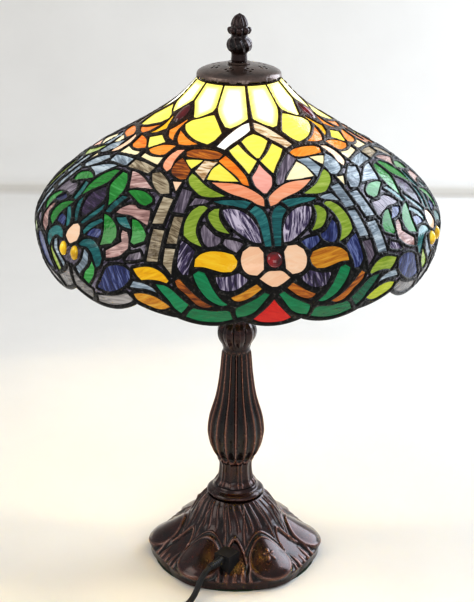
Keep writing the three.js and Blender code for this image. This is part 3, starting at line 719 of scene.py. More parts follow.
line, outward = along_outline(
    capital_outline, 110, (capital_radius, capital_height), capital_foot
)
level = (line[:, 1:2] - capital_foot) / capital_height
from_petal = abs(fold(bearing, petal_count)) / (180 / petal_count)
petal = np.sqrt(np.clip(1 - from_petal**2, 0, 1))
petal_zone = soft_step(0.02, 0.16, level) * soft_step(0.66, 0.5, level)
relief = petal_zone * (2.4 * petal - 1.6 + 0.5 * hump(from_petal, 0.12))
relief = relief + soft_step(0.6, 0.7, level) * (1.1 * abs(np.cos(np.radians(9 * bearing))) - 0.7)
capital = cast_piece(
    "capital_petals", line, outward, relief, antique_bronze, wall=4.0, hole=tube_hole
)
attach(capital, "stand")
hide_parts("column_capital")

# ---------------------------------------------------------------------------
# Neck, tube, cluster and sockets: a turned neck, a zinc-plated threaded tube
# with its washer and nut, and a cluster in antique bronze with two tilted
# sockets that have card liners and bead pull chains ending in small brass knobs.
# ---------------------------------------------------------------------------
chain_bead = 1.55
chain_pitch = 3.2
chain_side = 26.2
chain_front = -23.5
chain_low = 318.3
chain_high = 364.3


def plated(name, dark, light, roughness, metallic=1.0):
    """Plated or lacquered metal with a faint cloud and fine scratches."""
    material, tree, shader = new_material(name)
    cloud = fine_noise(tree, 130, 4)
    tree.links.new(ramp(tree, cloud, [(0.3, dark), (0.7, light)]), shader.inputs["Base Color"])
    shader.inputs["Metallic"].default_value = metallic
    gloss = add_node(
        tree,
        "ShaderNodeMapRange",
        Value=fine_noise(tree, 500, 3, stretch=(1, 1, 6)),
        To_Min=roughness - 0.06,
        To_Max=roughness + 0.12,
    )
    tree.links.new(gloss.outputs[0], shader.inputs["Roughness"])
    return material


aged_brass = plated("aged_brass", "6e4f22", "a98446", 0.34)
plug_brass = plated("plug_brass", "b08a45", "dcb76c", 0.24)
zinced_steel = plated("zinced_steel", "777a7c", "a9acae", 0.36)
card_liner = rubber("card_liner", "2a2118", "3b3024", 0.8)
dress(antique_bronze, "neck_spacer", "cluster_body")
dress(zinced_steel, "centre_tube", "tube_washer", "tube_nut", "riser_rod", "shade_rest_nut")
dress(plug_brass, "plug_blade_a", "plug_blade_b")
for side in ("left", "right"):
    dress(aged_brass, "socket_cap_" + side, "socket_shell_" + side, "pull_knob_" + side)
    dress(card_liner, "socket_insert_" + side)
    dress(aged_brass, "bulb_base_" + side)


def bead_chain(name, x):
    """Beads threaded one after another on a line, set out by a node tree."""
    mesh = bpy.data.meshes.new(name)
    ends = [(x * mm, chain_front * mm, z * mm) for z in (chain_high, chain_low)]
    mesh.from_pydata(ends, [(0, 1)], [])
    holder = bpy.data.objects.new(name + "_line", mesh)
    scene.collection.objects.link(holder)
    tree = bpy.data.node_groups.new("bead_chain", "GeometryNodeTree")
    tree.interface.new_socket("Line", in_out="INPUT", socket_type="NodeSocketGeometry")
    pitch = tree.interface.new_socket("Bead pitch", in_out="INPUT", socket_type="NodeSocketFloat")
    radius = tree.interface.new_socket("Bead radius", in_out="INPUT", socket_type="NodeSocketFloat")
    tree.interface.new_socket("Chain", in_out="OUTPUT", socket_type="NodeSocketGeometry")
    start = tree.nodes.new("NodeGroupInput")
    curve = add_node(tree, "GeometryNodeMeshToCurve", Mesh=start.outputs["Line"])
    places = add_node(
        tree,
        "GeometryNodeCurveToPoints",
        {"mode": "LENGTH"},
        Curve=curve.outputs[0],
        Length=start.outputs["Bead pitch"],
    )
    ball = add_node(
        tree,
        "GeometryNodeMeshUVSphere",
        Segments=10,
        Rings=6,
        Radius=start.outputs["Bead radius"],
    )
    beads = add_node(
        tree, "GeometryNodeInstanceOnPoints", Points=places.outputs[0], Instance=ball.outputs[0]
    )
    made = add_node(tree, "GeometryNodeRealizeInstances", Geometry=beads.outputs[0])
    dressed = add_node(
        tree, "GeometryNodeSetMaterial", Geometry=made.outputs[0], Material=aged_brass
    )
    end = tree.nodes.new("NodeGroupOutput")
    tree.links.new(dressed.outputs[0], end.inputs[0])
    modifier = holder.modifiers.new("beads", "NODES")
    modifier.node_group = tree
    modifier[pitch.identifier] = chain_pitch * mm
    modifier[radius.identifier] = chain_bead * mm
    bpy.context.view_layer.update()
    finished = bpy.data.meshes.new_from_object(
        holder.evaluated_get(bpy.context.evaluated_depsgraph_get())
    )
    bpy.data.objects.remove(holder)
    finished.polygons.foreach_set("use_smooth", [True] * len(finished.polygons))
    chain = bpy.data.objects.new(name, finished)
    scene.collection.objects.link(chain)
    return chain


for side, x in (("left", -chain_side), ("right", chain_side)):
    chain = bead_chain("bead_chain_" + side, x)
    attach(chain, "chain_" + side)
    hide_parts("pull_chain_" + side)

# ---------------------------------------------------------------------------
# Lamps: two frosted candle lamps with brass caps, screwed into the sockets
# and leaning outwards. They are lit; their light through the shade is
# painted into its glass as a glow.
# ---------------------------------------------------------------------------
lamp_tilt = math.radians(18)
lamp_start = 54.6
lamp_length = 82.0
lamp_radius = 30.0
socket_cap_length = 16.3
lamp_foot_x = 14.0
lamp_foot_z = 330.6
lamp_outline = [
    (0.45, 0.0), (0.5, 0.1), (0.76, 0.28), (0.96, 0.48), (1.0, 0.62), (0.9, 0.8),
    (0.58, 0.95), (0.06, 1.0),
]
frosted, frosted_tree, frosted_shader = new_material("frosted_lamp")
frost = ramp(frosted_tree, fine_noise(frosted_tree, 60, 2), [(0.3, "fff0cf"), (0.7, "fff8e6")])
frosted_tree.links.new(frost, frosted_shader.inputs["Base Color"])
frosted_tree.links.new(frost, frosted_shader.inputs["Emission Color"])
frosted_shader.inputs["Emission Strength"].default_value = 6.0
frosted_shader.inputs["Roughness"].default_value = 0.35
for side, way in (("left", -1), ("right", 1)):
    heading = (way * math.sin(lamp_tilt), 0.0, math.cos(lamp_tilt))
    foot = np.array([way * lamp_foot_x, 0, lamp_foot_z])
    foot = foot + np.array(heading) * (socket_cap_length + lamp_start)
    line, outward = along_outline(lamp_outline, 40, (lamp_radius, lamp_length), 0)
    points, faces = turned(line, 48)
    lamp = make_mesh("lamp_glass_" + side, stood(points, foot, heading), faces, frosted, sharp=60)
    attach(lamp, "bulb_" + side)
    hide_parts("bulb_glass_" + side)

# ---------------------------------------------------------------------------
# Leaded glass of the shade: about four hundred flat pieces of rolled glass,
# wrapped in copper foil. Three flowers on teal stems lie between three leafy
# arches, under a crown of pale yellow panes, painted to glow as if the lamps
# lit them from inside.
# ---------------------------------------------------------------------------
shade_top = 526.0
crown_radius = 40.5
shade_flare = 162.5
shade_drop = 193.0
shade_outline = [
    (0, 0), (0.16, 0.134), (0.391, 0.26), (0.662, 0.394), (0.868, 0.526), (0.975, 0.644),
    (1, 0.716), (0.9975, 0.778), (0.978, 0.871), (0.9415, 0.943), (0.9015, 1),
]
glass_inset = 1.5
glass_half = 0.8
first_flower = -80.5
sector_count = 3
sector_turn = 120
half_sector = 60.0
lead_under = 0.6
rim_margin = 3.2
pane_grid = 3.0
sector_overlap = 0.2

curve_line = smooth_path(
    [(crown_radius + u * shade_flare, shade_top - v * shade_drop) for u, v in shade_outline], 60
)
curve_steps = np.r_[0, np.cumsum(np.linalg.norm(np.diff(curve_line, axis=0), axis=1))]
curve_length = curve_steps[-1]
curve_way = np.gradient(curve_line, curve_steps, axis=0)
curve_way /= np.linalg.norm(curve_way, axis=1)[:, None]


def shade_radius(s):
    return np.interp(s, curve_steps, curve_line[:, 0])


def on_shade(angle, s, lift):
    """Points on the shade: angle in degrees about the lamp, s down the curve, lift outwards."""
    radius = shade_radius(s)
    height = np.interp(s, curve_steps, curve_line[:, 1])
    way_r = np.interp(s, curve_steps, curve_way[:, 0])
    way_z = np.interp(s, curve_steps, curve_way[:, 1])
    out = lift - glass_inset
    radius = radius - way_z * out
    height = height + way_r * out
    angle = np.radians(angle)
    return np.stack([radius * np.cos(angle), radius * np.sin(angle), height], -1)


def rim_at(fold_angle):
    """How far down the curve the scalloped rim is, for degrees from a flower's axis."""
    a = abs(fold_angle)
    along = 0.5 + a / 16
    first = 0.95 + 0.03 * np.sin(math.pi * np.clip(along, 0, 1)) ** 0.8
    made = first
    for start, end, low, tip, high in (
        (8, 25.5, 0.95, 0.98, 0.952),
        (25.5, 37, 0.952, 0.94, 0.913),
        (37, 60.01, 0.913, 0.97, 0.922),
    ):
        t = np.clip((a - start) / (end - start), 0, 1)
        chord = low + (high - low) * t
        rise = tip - (low + high) / 2
        made = np.where(a > start, chord + rise * np.sin(math.pi * t) ** 0.8, made)
    return made * curve_length


def to_plane(angle, s, middle=0.0):
    return np.stack([np.radians(angle - middle) * shade_radius(s), s], -1)


def from_plane(points, middle=0.0):
    return np.degrees(points[:, 0] / shade_radius(points[:, 1])) + middle, points[:, 1]


def rounded(points, spacing=1.8, corner=37):
    """A closed outline made smooth, except at its sharp corners."""
    p = np.asarray(points, float)
    ahead = np.roll(p, -1, 0) - p
    behind = np.roll(ahead, 1, 0)
    cross = behind[:, 0] * ahead[:, 1] - behind[:, 1] * ahead[:, 0]
    turn = np.degrees(abs(np.arctan2(cross, (behind * ahead).sum(1))))
    sharp = turn > corner
    made = []
    for i in range(len(p)):
        j = (i + 1) % len(p)
        chord = ahead[i]
        length = np.linalg.norm(chord)
        if length < 0.05:
            continue
        leave = chord if sharp[i] else (chord + behind[i]) / 2
        arrive = chord if sharp[j] else (chord + ahead[j]) / 2
        leave = leave * min(1, length / max(np.linalg.norm(leave), 1e-6))
        arrive = arrive * min(1, length / max(np.linalg.norm(arrive), 1e-6))
        for t in np.arange(0, 1, 1 / max(1, round(length / spacing))):
            made.append(
                p[i] * (2 * t**3 - 3 * t**2 + 1)
                + leave * (t**3 - 2 * t**2 + t)
                + p[j] * (3 * t**2 - 2 * t**3)
                + arrive * (t**3 - t**2)
            )
    return np.array(made)


def inside(points, outline):
    """Which of the points lie inside a closed outline."""
    result = np.zeros(len(points), bool)
    low, high = outline.min(0), outline.max(0)
    near = np.where(((points >= low) & (points <= high)).all(1))[0]
    x, y = points[near, 0], points[near, 1]
    found = np.zeros(len(near), bool)
    for (x0, y0), (x1, y1) in zip(outline, np.roll(outline, -1, 0)):
        if y0 != y1:
            crosses = (y0 > y) != (y1 > y)
            found ^= crosses & (x < (x1 - x0) * (y - y0) / (y1 - y0) + x0)
    result[near] = found
    return result


def edge_tree(outlines, spacing=0.5):
    """A search tree of points along outlines, to find distances to them."""
    samples = []
    for outline in outlines:
        for here, there in zip(outline, np.roll(outline, -1, 0)):
            count = max(1, int(np.linalg.norm(there - here) / spacing))
            samples.append(here + (there - here) * np.arange(count)[:, None] / count)
    samples = np.vstack(samples)
    tree = KDTree(len(samples))
    for i, (x, y) in enumerate(samples):
        tree.insert((x, y, 0), i)
    tree.balance()
    return tree


def distances(tree, points):
    return np.array([tree.find((x, y, 0))[2] for x, y in points])


def hex_points(low, high, spacing):
    """A triangular grid of points that covers a box."""
    rows = np.arange(low[1], high[1], spacing * 0.866)
    columns = np.arange(low[0], high[0], spacing)
    x, y = np.meshgrid(columns, rows)
    x = x + (np.arange(len(rows)) % 2)[:, None] * spacing / 2
    return np.stack([x.ravel(), y.ravel()], 1)


def triangulated(loops, extra, keep):
    """Triangles between outlines and extra points; keep says which centres stay."""
    points, edges = [], []
    for loop in loops:
        first = len(points)
        points += [tuple(p) for p in loop]
        edges += [(first + i, first + (i + 1) % len(loop)) for i in range(len(loop))]
    points += [tuple(p) for p in extra]
    made = delaunay_2d_cdt([Vector(p) for p in points], edges, [], 0, 1e-4)
    plane = np.array([tuple(p) for p in made[0]])
    triangles = np.array([f for f in made[2] if len(f) == 3])
    triangles = triangles[keep(plane[triangles].mean(1))]
    used, triangles = np.unique(triangles, return_inverse=True)
    return plane[used], triangles.reshape(-1, 3)


def two_sided(triangles, count):
    """Faces of a closed sheet: the triangles, their copy count places on, and the walls."""
    sides = np.vstack([triangles[:, (0, 1)], triangles[:, (1, 2)], triangles[:, (2, 0)]])
    key = np.sort(sides, 1)
    _, place, times = np.unique(key, axis=0, return_index=True, return_counts=True)
    border = sides[place[times == 1]]
    faces = triangles[:, ::-1].tolist() + (triangles + count).tolist()
    return faces + [(a, b, b + count, a + count) for a, b in border.tolist()]


panes = [
    # The flower: two petals, the petal below, and the golden leaves beside them.
    ("peach", "peach", "pair", [
        (2.75, 195.5), (3.9, 190.3), (6.3, 189.8), (8.1, 194.5), (8.6, 202), (8, 210.5), (6.6, 215),
        (4.5, 216.3), (2.85, 211),
    ]),
    ("peach", "peach", "flower", [
        (0, 212.6), (1.9, 213.2), (3.9, 219.3), (2, 224.5), (0.6, 227.4), (0, 227.4),
    ]),
    ("amber", "golden", "pair", [
        (9.5, 203), (10.6, 197.4), (13.4, 195.1), (16.6, 195), (19, 198), (20.3, 202.8), (20.4, 209.8),
        (18, 209.6), (15.9, 211.2), (13.3, 213.3), (11, 213), (9.8, 208.5),
    ]),
    # Teal stems, their arch, and the streaky buds and crescents beside them.
    ("teal", "teal", "pair", [
        (0.45, 190), (0.5, 170), (0.95, 158.5), (2.2, 151), (4, 147.3), (5.9, 153.5), (4.25, 159.8),
        (3.2, 169), (2.6, 180), (2.15, 190),
    ]),
    ("teal", "teal", "pair", [
        (5.2, 143.8), (7.2, 141.6), (10.5, 140.9), (14.2, 141.3), (17.6, 143.3), (14.8, 146),
        (11, 147.5), (8, 150), (6.9, 150.3), (6, 147),
    ]),
    ("mist", "dusk", "pair", [
        (18.9, 143.6), (20.6, 141.3), (23.9, 140.8), (25.2, 150.3), (22.7, 147.9), (20.2, 145.9),
    ]),
    ("iris", "iris", "pair", [
        (3.1, 186.5), (3.4, 175), (4.4, 166.8), (6.2, 158.8), (9, 152.7), (12.4, 150.8), (14.2, 152.8),
        (13.4, 160), (11.8, 168), (9.7, 175), (7, 181.7), (5, 185.8),
    ]),
    ("lime", "lime", "pair", [
        (15.3, 151.2), (16.8, 151.6), (18.35, 156.5), (18.3, 161.5), (17, 168.5), (15.2, 174.4),
        (13.2, 176.7), (11.7, 177.6), (13.3, 171.5), (14.8, 163.5), (15.35, 157),
    ]),
    ("cobalt", "dusk", "pair", [
        (13.9, 182.2), (15.8, 179.5), (17.8, 173.5), (19.2, 169), (19.8, 174), (19.5, 180), (18.4, 188),
        (17.3, 191), (15.2, 189.5), (14.1, 186),
    ]),
    ("cobalt", "dusk", "pair", [
        (7.9, 187.3), (10, 184.5), (12.9, 183), (13.4, 187.5), (11.8, 191.8), (9.8, 195.3), (8.9, 192),
    ]),
    ("lime", "lime", "pair", [
        (19, 151), (20.3, 148.8), (21.9, 149.4), (23.7, 155), (24.7, 163.5), (24.9, 172), (24.4, 181.5),
        (22.3, 186.8), (19, 191.2), (20.1, 185.5), (21.2, 177.5), (21.3, 169), (20.8, 161),
        (19.9, 155.5),
    ]),
    ("cobalt", "iris", "pair", [
        (20.7, 195.4), (22.8, 190), (24.8, 186.7), (24.9, 200), (24.7, 211), (23.4, 217.6),
        (21.9, 217.5), (21.6, 208.5), (21, 202),
    ]),
    ("iris", "iris", "pair", [
        (6.7, 220.3), (9.1, 214.2), (11.9, 217.4), (14.9, 218.2), (14.5, 223.5), (13.7, 229.8),
        (11.8, 231.3), (9.8, 229.8), (8, 225.3),
    ]),
    # Ribbons under the flower, and the panes along the rim.
    ("emerald", "emerald", "pair", [
        (11.9, 245.2), (13.9, 239), (15.7, 229), (16.8, 220.5), (17.7, 214.8), (19.2, 213.3),
        (20.6, 216.8), (19.9, 224), (18.8, 231.5), (16.9, 240), (14.4, 245.5), (13, 246.5),
    ]),
    ("rust", "amber", "pair", [
        (3.3, 229.2), (4.6, 224.5), (6.3, 228.3), (8.5, 233.5), (11, 237.7), (10.3, 240.4), (9, 241.6),
        (6.6, 238.5), (4.7, 233.5),
    ]),
    ("rust", "rust", "pair", [
        (15.8, 247.3), (18, 243.2), (20.3, 236.5), (22.6, 228.3), (24.2, 221.8), (25.3, 224.5),
        (24.6, 230.8), (22.5, 237), (20.8, 243.8), (19.3, 248), (17.4, 249.6),
    ]),
    ("ruby", "ruby", "flower", [
        (0, 240.3), (1.3, 246.5), (3.2, 254.5), (5.1, 262.3), (3.3, 266), (1.5, 267.8), (0, 268),
    ]),
    ("emerald", "emerald", "pair", [
        (1.2, 235), (2.5, 232.8), (4.7, 239), (7.5, 244.5), (9.8, 249), (9.8, 255), (9.4, 260.3),
        (6.9, 257.8), (4.8, 252.8), (2.9, 243.5),
    ]),
    ("emerald", "emerald", "pair", [
        (11.3, 253.2), (12.4, 251.9), (15.3, 253), (18, 252.3), (20.8, 251), (21.9, 254.5),
        (23.2, 262.3), (19.8, 266.6), (17, 268.9), (14, 268), (10.6, 262.7),
    ]),
    ("fir", "emerald", "pair", [
        (22, 247.5), (24, 241.3), (26.2, 234), (28.2, 230.2), (30.6, 230), (29, 237.5), (27.2, 245),
        (25.9, 253), (24.3, 258.3), (23.1, 253),
    ]),
    ("olive", "golden", "pair", [
        (27, 225), (28.4, 219.3), (30.4, 215.6), (32.6, 214.4), (34.8, 215.8), (36.9, 218.4),
        (35.8, 224), (34.6, 228), (32.3, 226.2), (29.8, 226), (27.6, 227.5),
    ]),
    ("mist", "mist", "pair", [
        (38.2, 237), (37, 230.6), (34, 231.3), (31.6, 234.3), (30.6, 238), (33.5, 236.2), (36, 236.8),
    ]),
    ("citron", "amber", "pair", [
        (27.1, 252), (28.9, 247), (30.8, 243.3), (33.2, 241.5), (35.4, 241.8), (37.3, 243.8),
        (36.6, 248.8), (35.2, 253.6), (33, 256.8), (31, 256.8), (29, 255.8),
    ]),
    # Two columns of bricks and the arch over the leaves.
    ("mist", "dusk", "pair", [
        (25.6, 133.5), (29.6, 131), (29.6, 158.5), (26.1, 158.8),
    ]),
    ("mist", "stone", "pair", [
        (25.9, 163), (28.7, 163.5), (28.7, 191), (25.9, 190),
    ]),
    ("dusk", "stone", "pair", [
        (26, 195.3), (28.8, 195.5), (28.6, 210), (26.3, 218.6),
    ]),
    ("mist", "stone", "pair", [
        (31.3, 144.5), (35, 143.2), (34.6, 173.5), (31.4, 172.3),
    ]),
    ("mist", "stone", "pair", [
        (30.3, 179), (33.6, 178.8), (33.2, 209.5), (30.2, 208.5),
    ]),
    ("mist", "stone", "pair", [
        (45.2, 118), (42, 115), (38, 121.5), (35.5, 128), (33.6, 138.5), (36.5, 140.5), (40, 134.5),
        (43, 126.5),
    ]),
    ("mist", "stone", "pair", [
        (59.2, 107.3), (53, 107.6), (46.2, 110.8), (47, 119.3), (53, 117.8), (59.2, 117.8),
    ]),
    ("cream", "peach", "pair", [
        (34.5, 124), (31, 123.3), (31.6, 134.8),
    ]),
    # The cup of the flower: salmon wings, a pink heart and lime swoops.
    ("salmon", "salmon", "pair", [
        (1, 148.5), (0.9, 139.5), (2.4, 134), (5.2, 127.8), (8.6, 122.8), (12.5, 120.8), (19.6, 120.6),
        (15.7, 127.7), (12, 133.5), (8, 137.8), (5.2, 141.4), (3.2, 146),
    ]),
    ("pink", "pink", "flower", [
        (0, 96.5), (1.6, 104), (3.8, 113), (3.6, 118.5), (2.9, 125), (0.5, 133.5), (0, 133.7),
    ]),
    ("lime", "olive", "pair", [
        (13.8, 136.7), (17.4, 131.6), (20.7, 126.6), (23.6, 120.5), (26, 115), (28.4, 111.2),
        (28.9, 118), (27.3, 126), (24.5, 132.8), (22, 137.6), (18.2, 138.5),
    ]),
    # The crown: hot pale panes, white arches, and yellow kites below them.
    ("oat", "white", "pair", [
        (1.7, 42.8), (1.7, 52.3), (5.2, 57.7), (9.3, 63.6), (13.5, 70.2), (16.8, 77.8), (21.3, 74.2),
        (17.7, 63), (12.4, 52.6), (6.6, 45.6),
    ]),
    ("straw", "straw", "pair", [
        (1.9, 1.5), (28.6, 1.5), (28.9, 26), (25.2, 36), (19, 48.5), (15.2, 50), (8.5, 44.5),
        (2.2, 38.2),
    ]),
    ("straw", "straw", "pair", [
        (58.6, 1.5), (31.3, 1.5), (31.4, 26), (33, 31), (38.5, 35.8), (44.5, 40.5), (47.3, 40.5),
        (50.3, 34.6), (54.5, 28), (58.6, 23),
    ]),
    ("lemon", "lemon", "pair", [
        (30.5, 35), (35.5, 37), (41, 40.8), (47, 44.8), (49.8, 50.8), (46.5, 57), (41.5, 62.5),
        (35, 68.2), (27, 72.3), (23.8, 66.5), (20.6, 56.5), (23.5, 48.5), (27.5, 40),
    ]),
    ("orange", "orange", "pair", [
        (49.6, 59.5), (46.8, 61.8), (42.3, 66.3), (37.6, 70.3), (32.6, 73.3), (38.3, 76.2),
        (43.6, 76.5), (47, 70),
    ]),
    ("golden", "orange", "pair", [
        (51.6, 44.6), (50.8, 46), (51.9, 53), (52.2, 60.5), (51, 67.3), (49.2, 73), (53.8, 69.8),
        (58.2, 62), (55.7, 55.8),
    ]),
    ("lemon", "lemon", "leaf", [
        (60, 70.2), (53, 77.4), (58.6, 87), (60, 89),
    ]),
    ("orange", "orange", "pair", [
        (58.3, 91), (56.8, 87), (52.8, 81.7), (48.3, 79.6), (44.6, 79.3), (45.7, 85), (46.8, 92),
        (49.4, 94.5), (54.8, 94.2),
    ]),
    ("cream", "cream", "pair", [
        (58.2, 96.8), (52.5, 98.3), (46.4, 96.4), (46.2, 106.5), (52, 104), (58.2, 102),
    ]),
    ("peach", "salmon", "pair", [
        (38, 82.3), (41.6, 84), (43.6, 91), (44, 100), (42.8, 107.5), (39.6, 112.8), (38.8, 108),
        (39.6, 98.5), (39.2, 90),
    ]),
    ("orange", "rust", "pair", [
        (17.2, 84), (20.5, 80.5), (27, 79.2), (33.5, 80.8), (36.3, 84.5), (34.8, 90.3), (28.5, 90.8),
        (22.5, 91.2), (18.6, 89.5),
    ]),
    ("cream", "lemon", "pair", [
        (26, 93), (31, 93.5), (34.3, 94.8), (31.8, 101), (29.7, 105.2), (27.7, 99),
    ]),
    ("mist", "oat", "pair", [
        (18.8, 94), (25.3, 93.5), (26.8, 103), (27.6, 108), (25.3, 113), (22.8, 119), (21.8, 108),
        (20.3, 99),
    ]),
    ("mist", "rust", "pair", [
        (29.8, 107.5), (33.5, 98.5), (36.5, 93), (38, 98), (38.2, 108), (36.5, 115), (32, 120.5),
        (30, 119),
    ]),
    ("cream", "lemon", "pair", [
        (18, 96.5), (20.6, 104), (21.6, 117.3), (16, 118.5), (9.3, 118.5), (12.6, 108.5),
    ]),
    ("dusk", "orange", "pair", [
        (15.8, 85.5), (18.6, 92.8), (13.6, 103.5), (10, 112), (7.8, 121.5), (5.4, 124.2), (6.3, 113),
        (8.4, 104), (11.5, 94.5),
    ]),
    ("lemon", "lemon", "pair", [
        (9.8, 70.5), (14.3, 78.7), (11, 88.5), (7.6, 98.5), (5.1, 109), (2.9, 100), (0.9, 92.3),
        (5.2, 82.5),
    ]),
    ("lemon", "lemon", "flower", [
        (0, 57.3), (4.5, 61), (7.7, 66.8), (4.2, 78), (0.6, 88.5), (0, 89),
    ]),
    # The leafy arch: leaves, dark flames and textured fillers above two yellow buds.
    ("leaf", "leaf", "pair", [
        (58.8, 125.3), (56, 126), (53.1, 134), (51.6, 143.5), (51.6, 154), (52.7, 165), (54.6, 157),
        (57.3, 148.5), (58.9, 141.5),
    ]),
    ("plum", "plum", "leaf", [
        (60, 146.8), (58.3, 150.5), (56.5, 157.5), (56.4, 164), (57.4, 173), (59, 181), (60, 183.5),
    ]),
    ("teal", "teal", "pair", [
        (54.4, 164), (53.8, 171), (55.4, 180), (58.1, 190), (59.1, 189), (57.4, 180), (55.6, 171),
    ]),
    ("peach", "peach", "leaf", [
        (60, 191.2), (58.3, 193.5), (57.2, 200.5), (57.3, 206), (59.2, 210.3), (60, 211.3),
    ]),
    ("teal", "teal", "pair", [
        (52, 179.2), (50.8, 181.5), (53.5, 189.5), (55.7, 198.5), (56.6, 195.5), (55.3, 187.5),
    ]),
    ("teal", "teal", "pair", [
        (50.3, 151), (47.8, 150.5), (49.2, 160), (50.2, 171), (52.2, 171.3), (51.8, 162),
    ]),
    ("leaf", "leaf", "pair", [
        (49.3, 144.3), (48, 142), (44, 140.7), (41, 143), (38.7, 147), (38, 151), (39.5, 156),
        (41.7, 155.3), (44.5, 151), (47, 147.5),
    ]),
    ("mist", "blush", "pair", [
        (55, 121), (51.5, 121.8), (47, 126), (43.5, 131.6), (40.6, 136.4), (46.3, 137.8), (49.6, 141),
        (50.9, 136), (52.6, 129),
    ]),
    ("dusk", "blush", "pair", [
        (48.2, 169.3), (47.3, 163.5), (45, 158.3), (43, 157.6), (41.5, 160.5), (37.2, 160.5),
        (36.5, 166), (35.9, 176.3), (39.5, 171.8), (43, 169), (46, 169.8),
    ]),
    ("cobalt", "teal", "pair", [
        (47, 174.5), (44, 171.7), (42, 177.5), (40.5, 182.3), (43.3, 181.5), (45.5, 178.5),
    ]),
    ("leaf", "leaf", "pair", [
        (52, 174), (50, 175), (47, 179.5), (45, 186), (44.2, 193), (45, 199.5), (48.5, 203.5),
        (48.6, 197), (49.2, 189), (50.6, 181),
    ]),
    ("leaf", "leaf", "pair", [
        (41.5, 172.5), (39.5, 173.5), (37, 179), (35.2, 186), (35.3, 191.5), (38, 196.3), (39.2, 194.5),
        (39.5, 187), (40.5, 179.5),
    ]),
    ("cobalt", "cobalt", "pair", [
        (54.4, 198.3), (54, 194), (52.9, 190.3), (50.3, 189.3), (49.6, 193), (50, 197.6),
    ]),
    ("blush", "blush", "pair", [
        (43, 185.2), (41.2, 186.5), (40, 193), (39.4, 201), (41.5, 209), (45.5, 214), (46, 207),
        (44, 202), (41.9, 196), (42.8, 190),
    ]),
    ("iris", "dusk", "pair", [
        (39.4, 211.8), (38.5, 206), (35.6, 202), (34.7, 207.5), (37, 210.5),
    ]),
    ("teal", "teal", "pair", [
        (56.2, 208.6), (55, 203.6), (52.5, 200.8), (50, 203), (48, 208.5), (47, 215), (47.6, 222),
        (48.9, 225.5), (49.7, 219.5), (51, 212.5), (53, 209), (55, 209.5),
    ]),
    ("mist", "mist", "pair", [
        (53.6, 211.5), (51.9, 215), (52, 223), (53.8, 230), (55.4, 235), (56.2, 238.5), (57.4, 232.3),
        (55.8, 228), (54.2, 221),
    ]),
    ("lime", "leaf", "pair", [
        (50.4, 220.5), (49.6, 227), (50.4, 235), (52.8, 245.3), (54.6, 241), (53.6, 234), (51.5, 227),
    ]),
    ("cobalt", "cobalt", "pair", [
        (49.5, 246), (48, 238.5), (46.5, 230), (45.3, 223), (43, 219), (40, 218.2), (37.9, 221.5),
        (38, 229), (40, 237), (43, 244), (46, 247.6),
    ]),
    ("dove", "dove", "pair", [
        (51, 264.8), (50.3, 256), (47, 253.5), (43, 250), (39.5, 244.3), (37.8, 250), (39, 256.5),
        (43, 262), (47, 265),
    ]),
    ("dove", "dove", "pair", [
        (59.2, 233), (57.5, 241), (54.5, 247.5), (51.8, 251), (52.5, 258), (53.2, 263), (57, 258),
        (59.3, 252.5),
    ]),
]
# Glass by name: dark, middle and light colour, how streaky it is, and its texture.
glasses = {
    "straw": ("ece05a", "f6ee7c", "fdf8a8", 0.3, 0.2),
    "lemon": ("ecdc5c", "f3e870", "f7ee94", 0.4, 0.2),
    "golden": ("cf8d00", "f0b808", "f8d03c", 0.7, 0.2),
    "amber": ("b06a1c", "d79a34", "e0b860", 0.9, 0.3),
    "orange": ("d96a10", "ee8f2a", "f7ad58", 0.8, 0.2),
    "rust": ("5e2a0c", "a55a1a", "cf8430", 1.1, 0.3),
    "cream": ("f2dfae", "faedc4", "fdf6da", 0.4, 0.2),
    "peach": ("f3bd98", "fad4b4", "fde3cb", 0.4, 0.2),
    "salmon": ("e58e68", "f1a986", "f6c0a2", 0.6, 0.2),
    "pink": ("e8a294", "f1b5a8", "f6c8be", 0.5, 0.2),
    "white": ("f6ddba", "fffaf0", "ffffff", 0.5, 0.3),
    "oat": ("9a7040", "e2cba8", "f8eedd", 1.3, 0.8),
    "lime": ("758f30", "98b04a", "bccb78", 0.7, 0.2),
    "olive": ("5d7a1c", "87a034", "b0bf5c", 0.8, 0.2),
    "citron": ("a8b41c", "c8d23c", "dde27a", 0.6, 0.2),
    "leaf": ("1a6a24", "338f3e", "66bb70", 0.7, 0.2),
    "emerald": ("044a2e", "067a4a", "1f9a68", 0.5, 0.2),
    "fir": ("05382a", "0a5a3e", "1d7a58", 0.6, 0.2),
    "teal": ("123f42", "24686a", "4a8f8c", 0.8, 0.2),
    "cobalt": ("161a3c", "30396c", "7d88b4", 1.2, 0.6),
    "iris": ("1c1628", "453a5c", "cfc6d6", 1.5, 0.9),
    "plum": ("1d1526", "3a2c48", "6d5c7c", 1.2, 0.6),
    "dusk": ("403845", "6c6270", "a69ca8", 1.2, 0.7),
    "mist": ("65707a", "93a2ae", "c9d5dc", 1.2, 0.7),
    "stone": ("62543f", "9c8e76", "c8bca4", 1.2, 0.8),
    "blush": ("8a6a66", "c09c96", "e8cfc8", 1.3, 0.9),
    "dove": ("5e5c5c", "8b8785", "b5b0ad", 1.2, 0.8),
    "ruby": ("9a0606", "cc1410", "e03024", 0.4, 0.2),
}


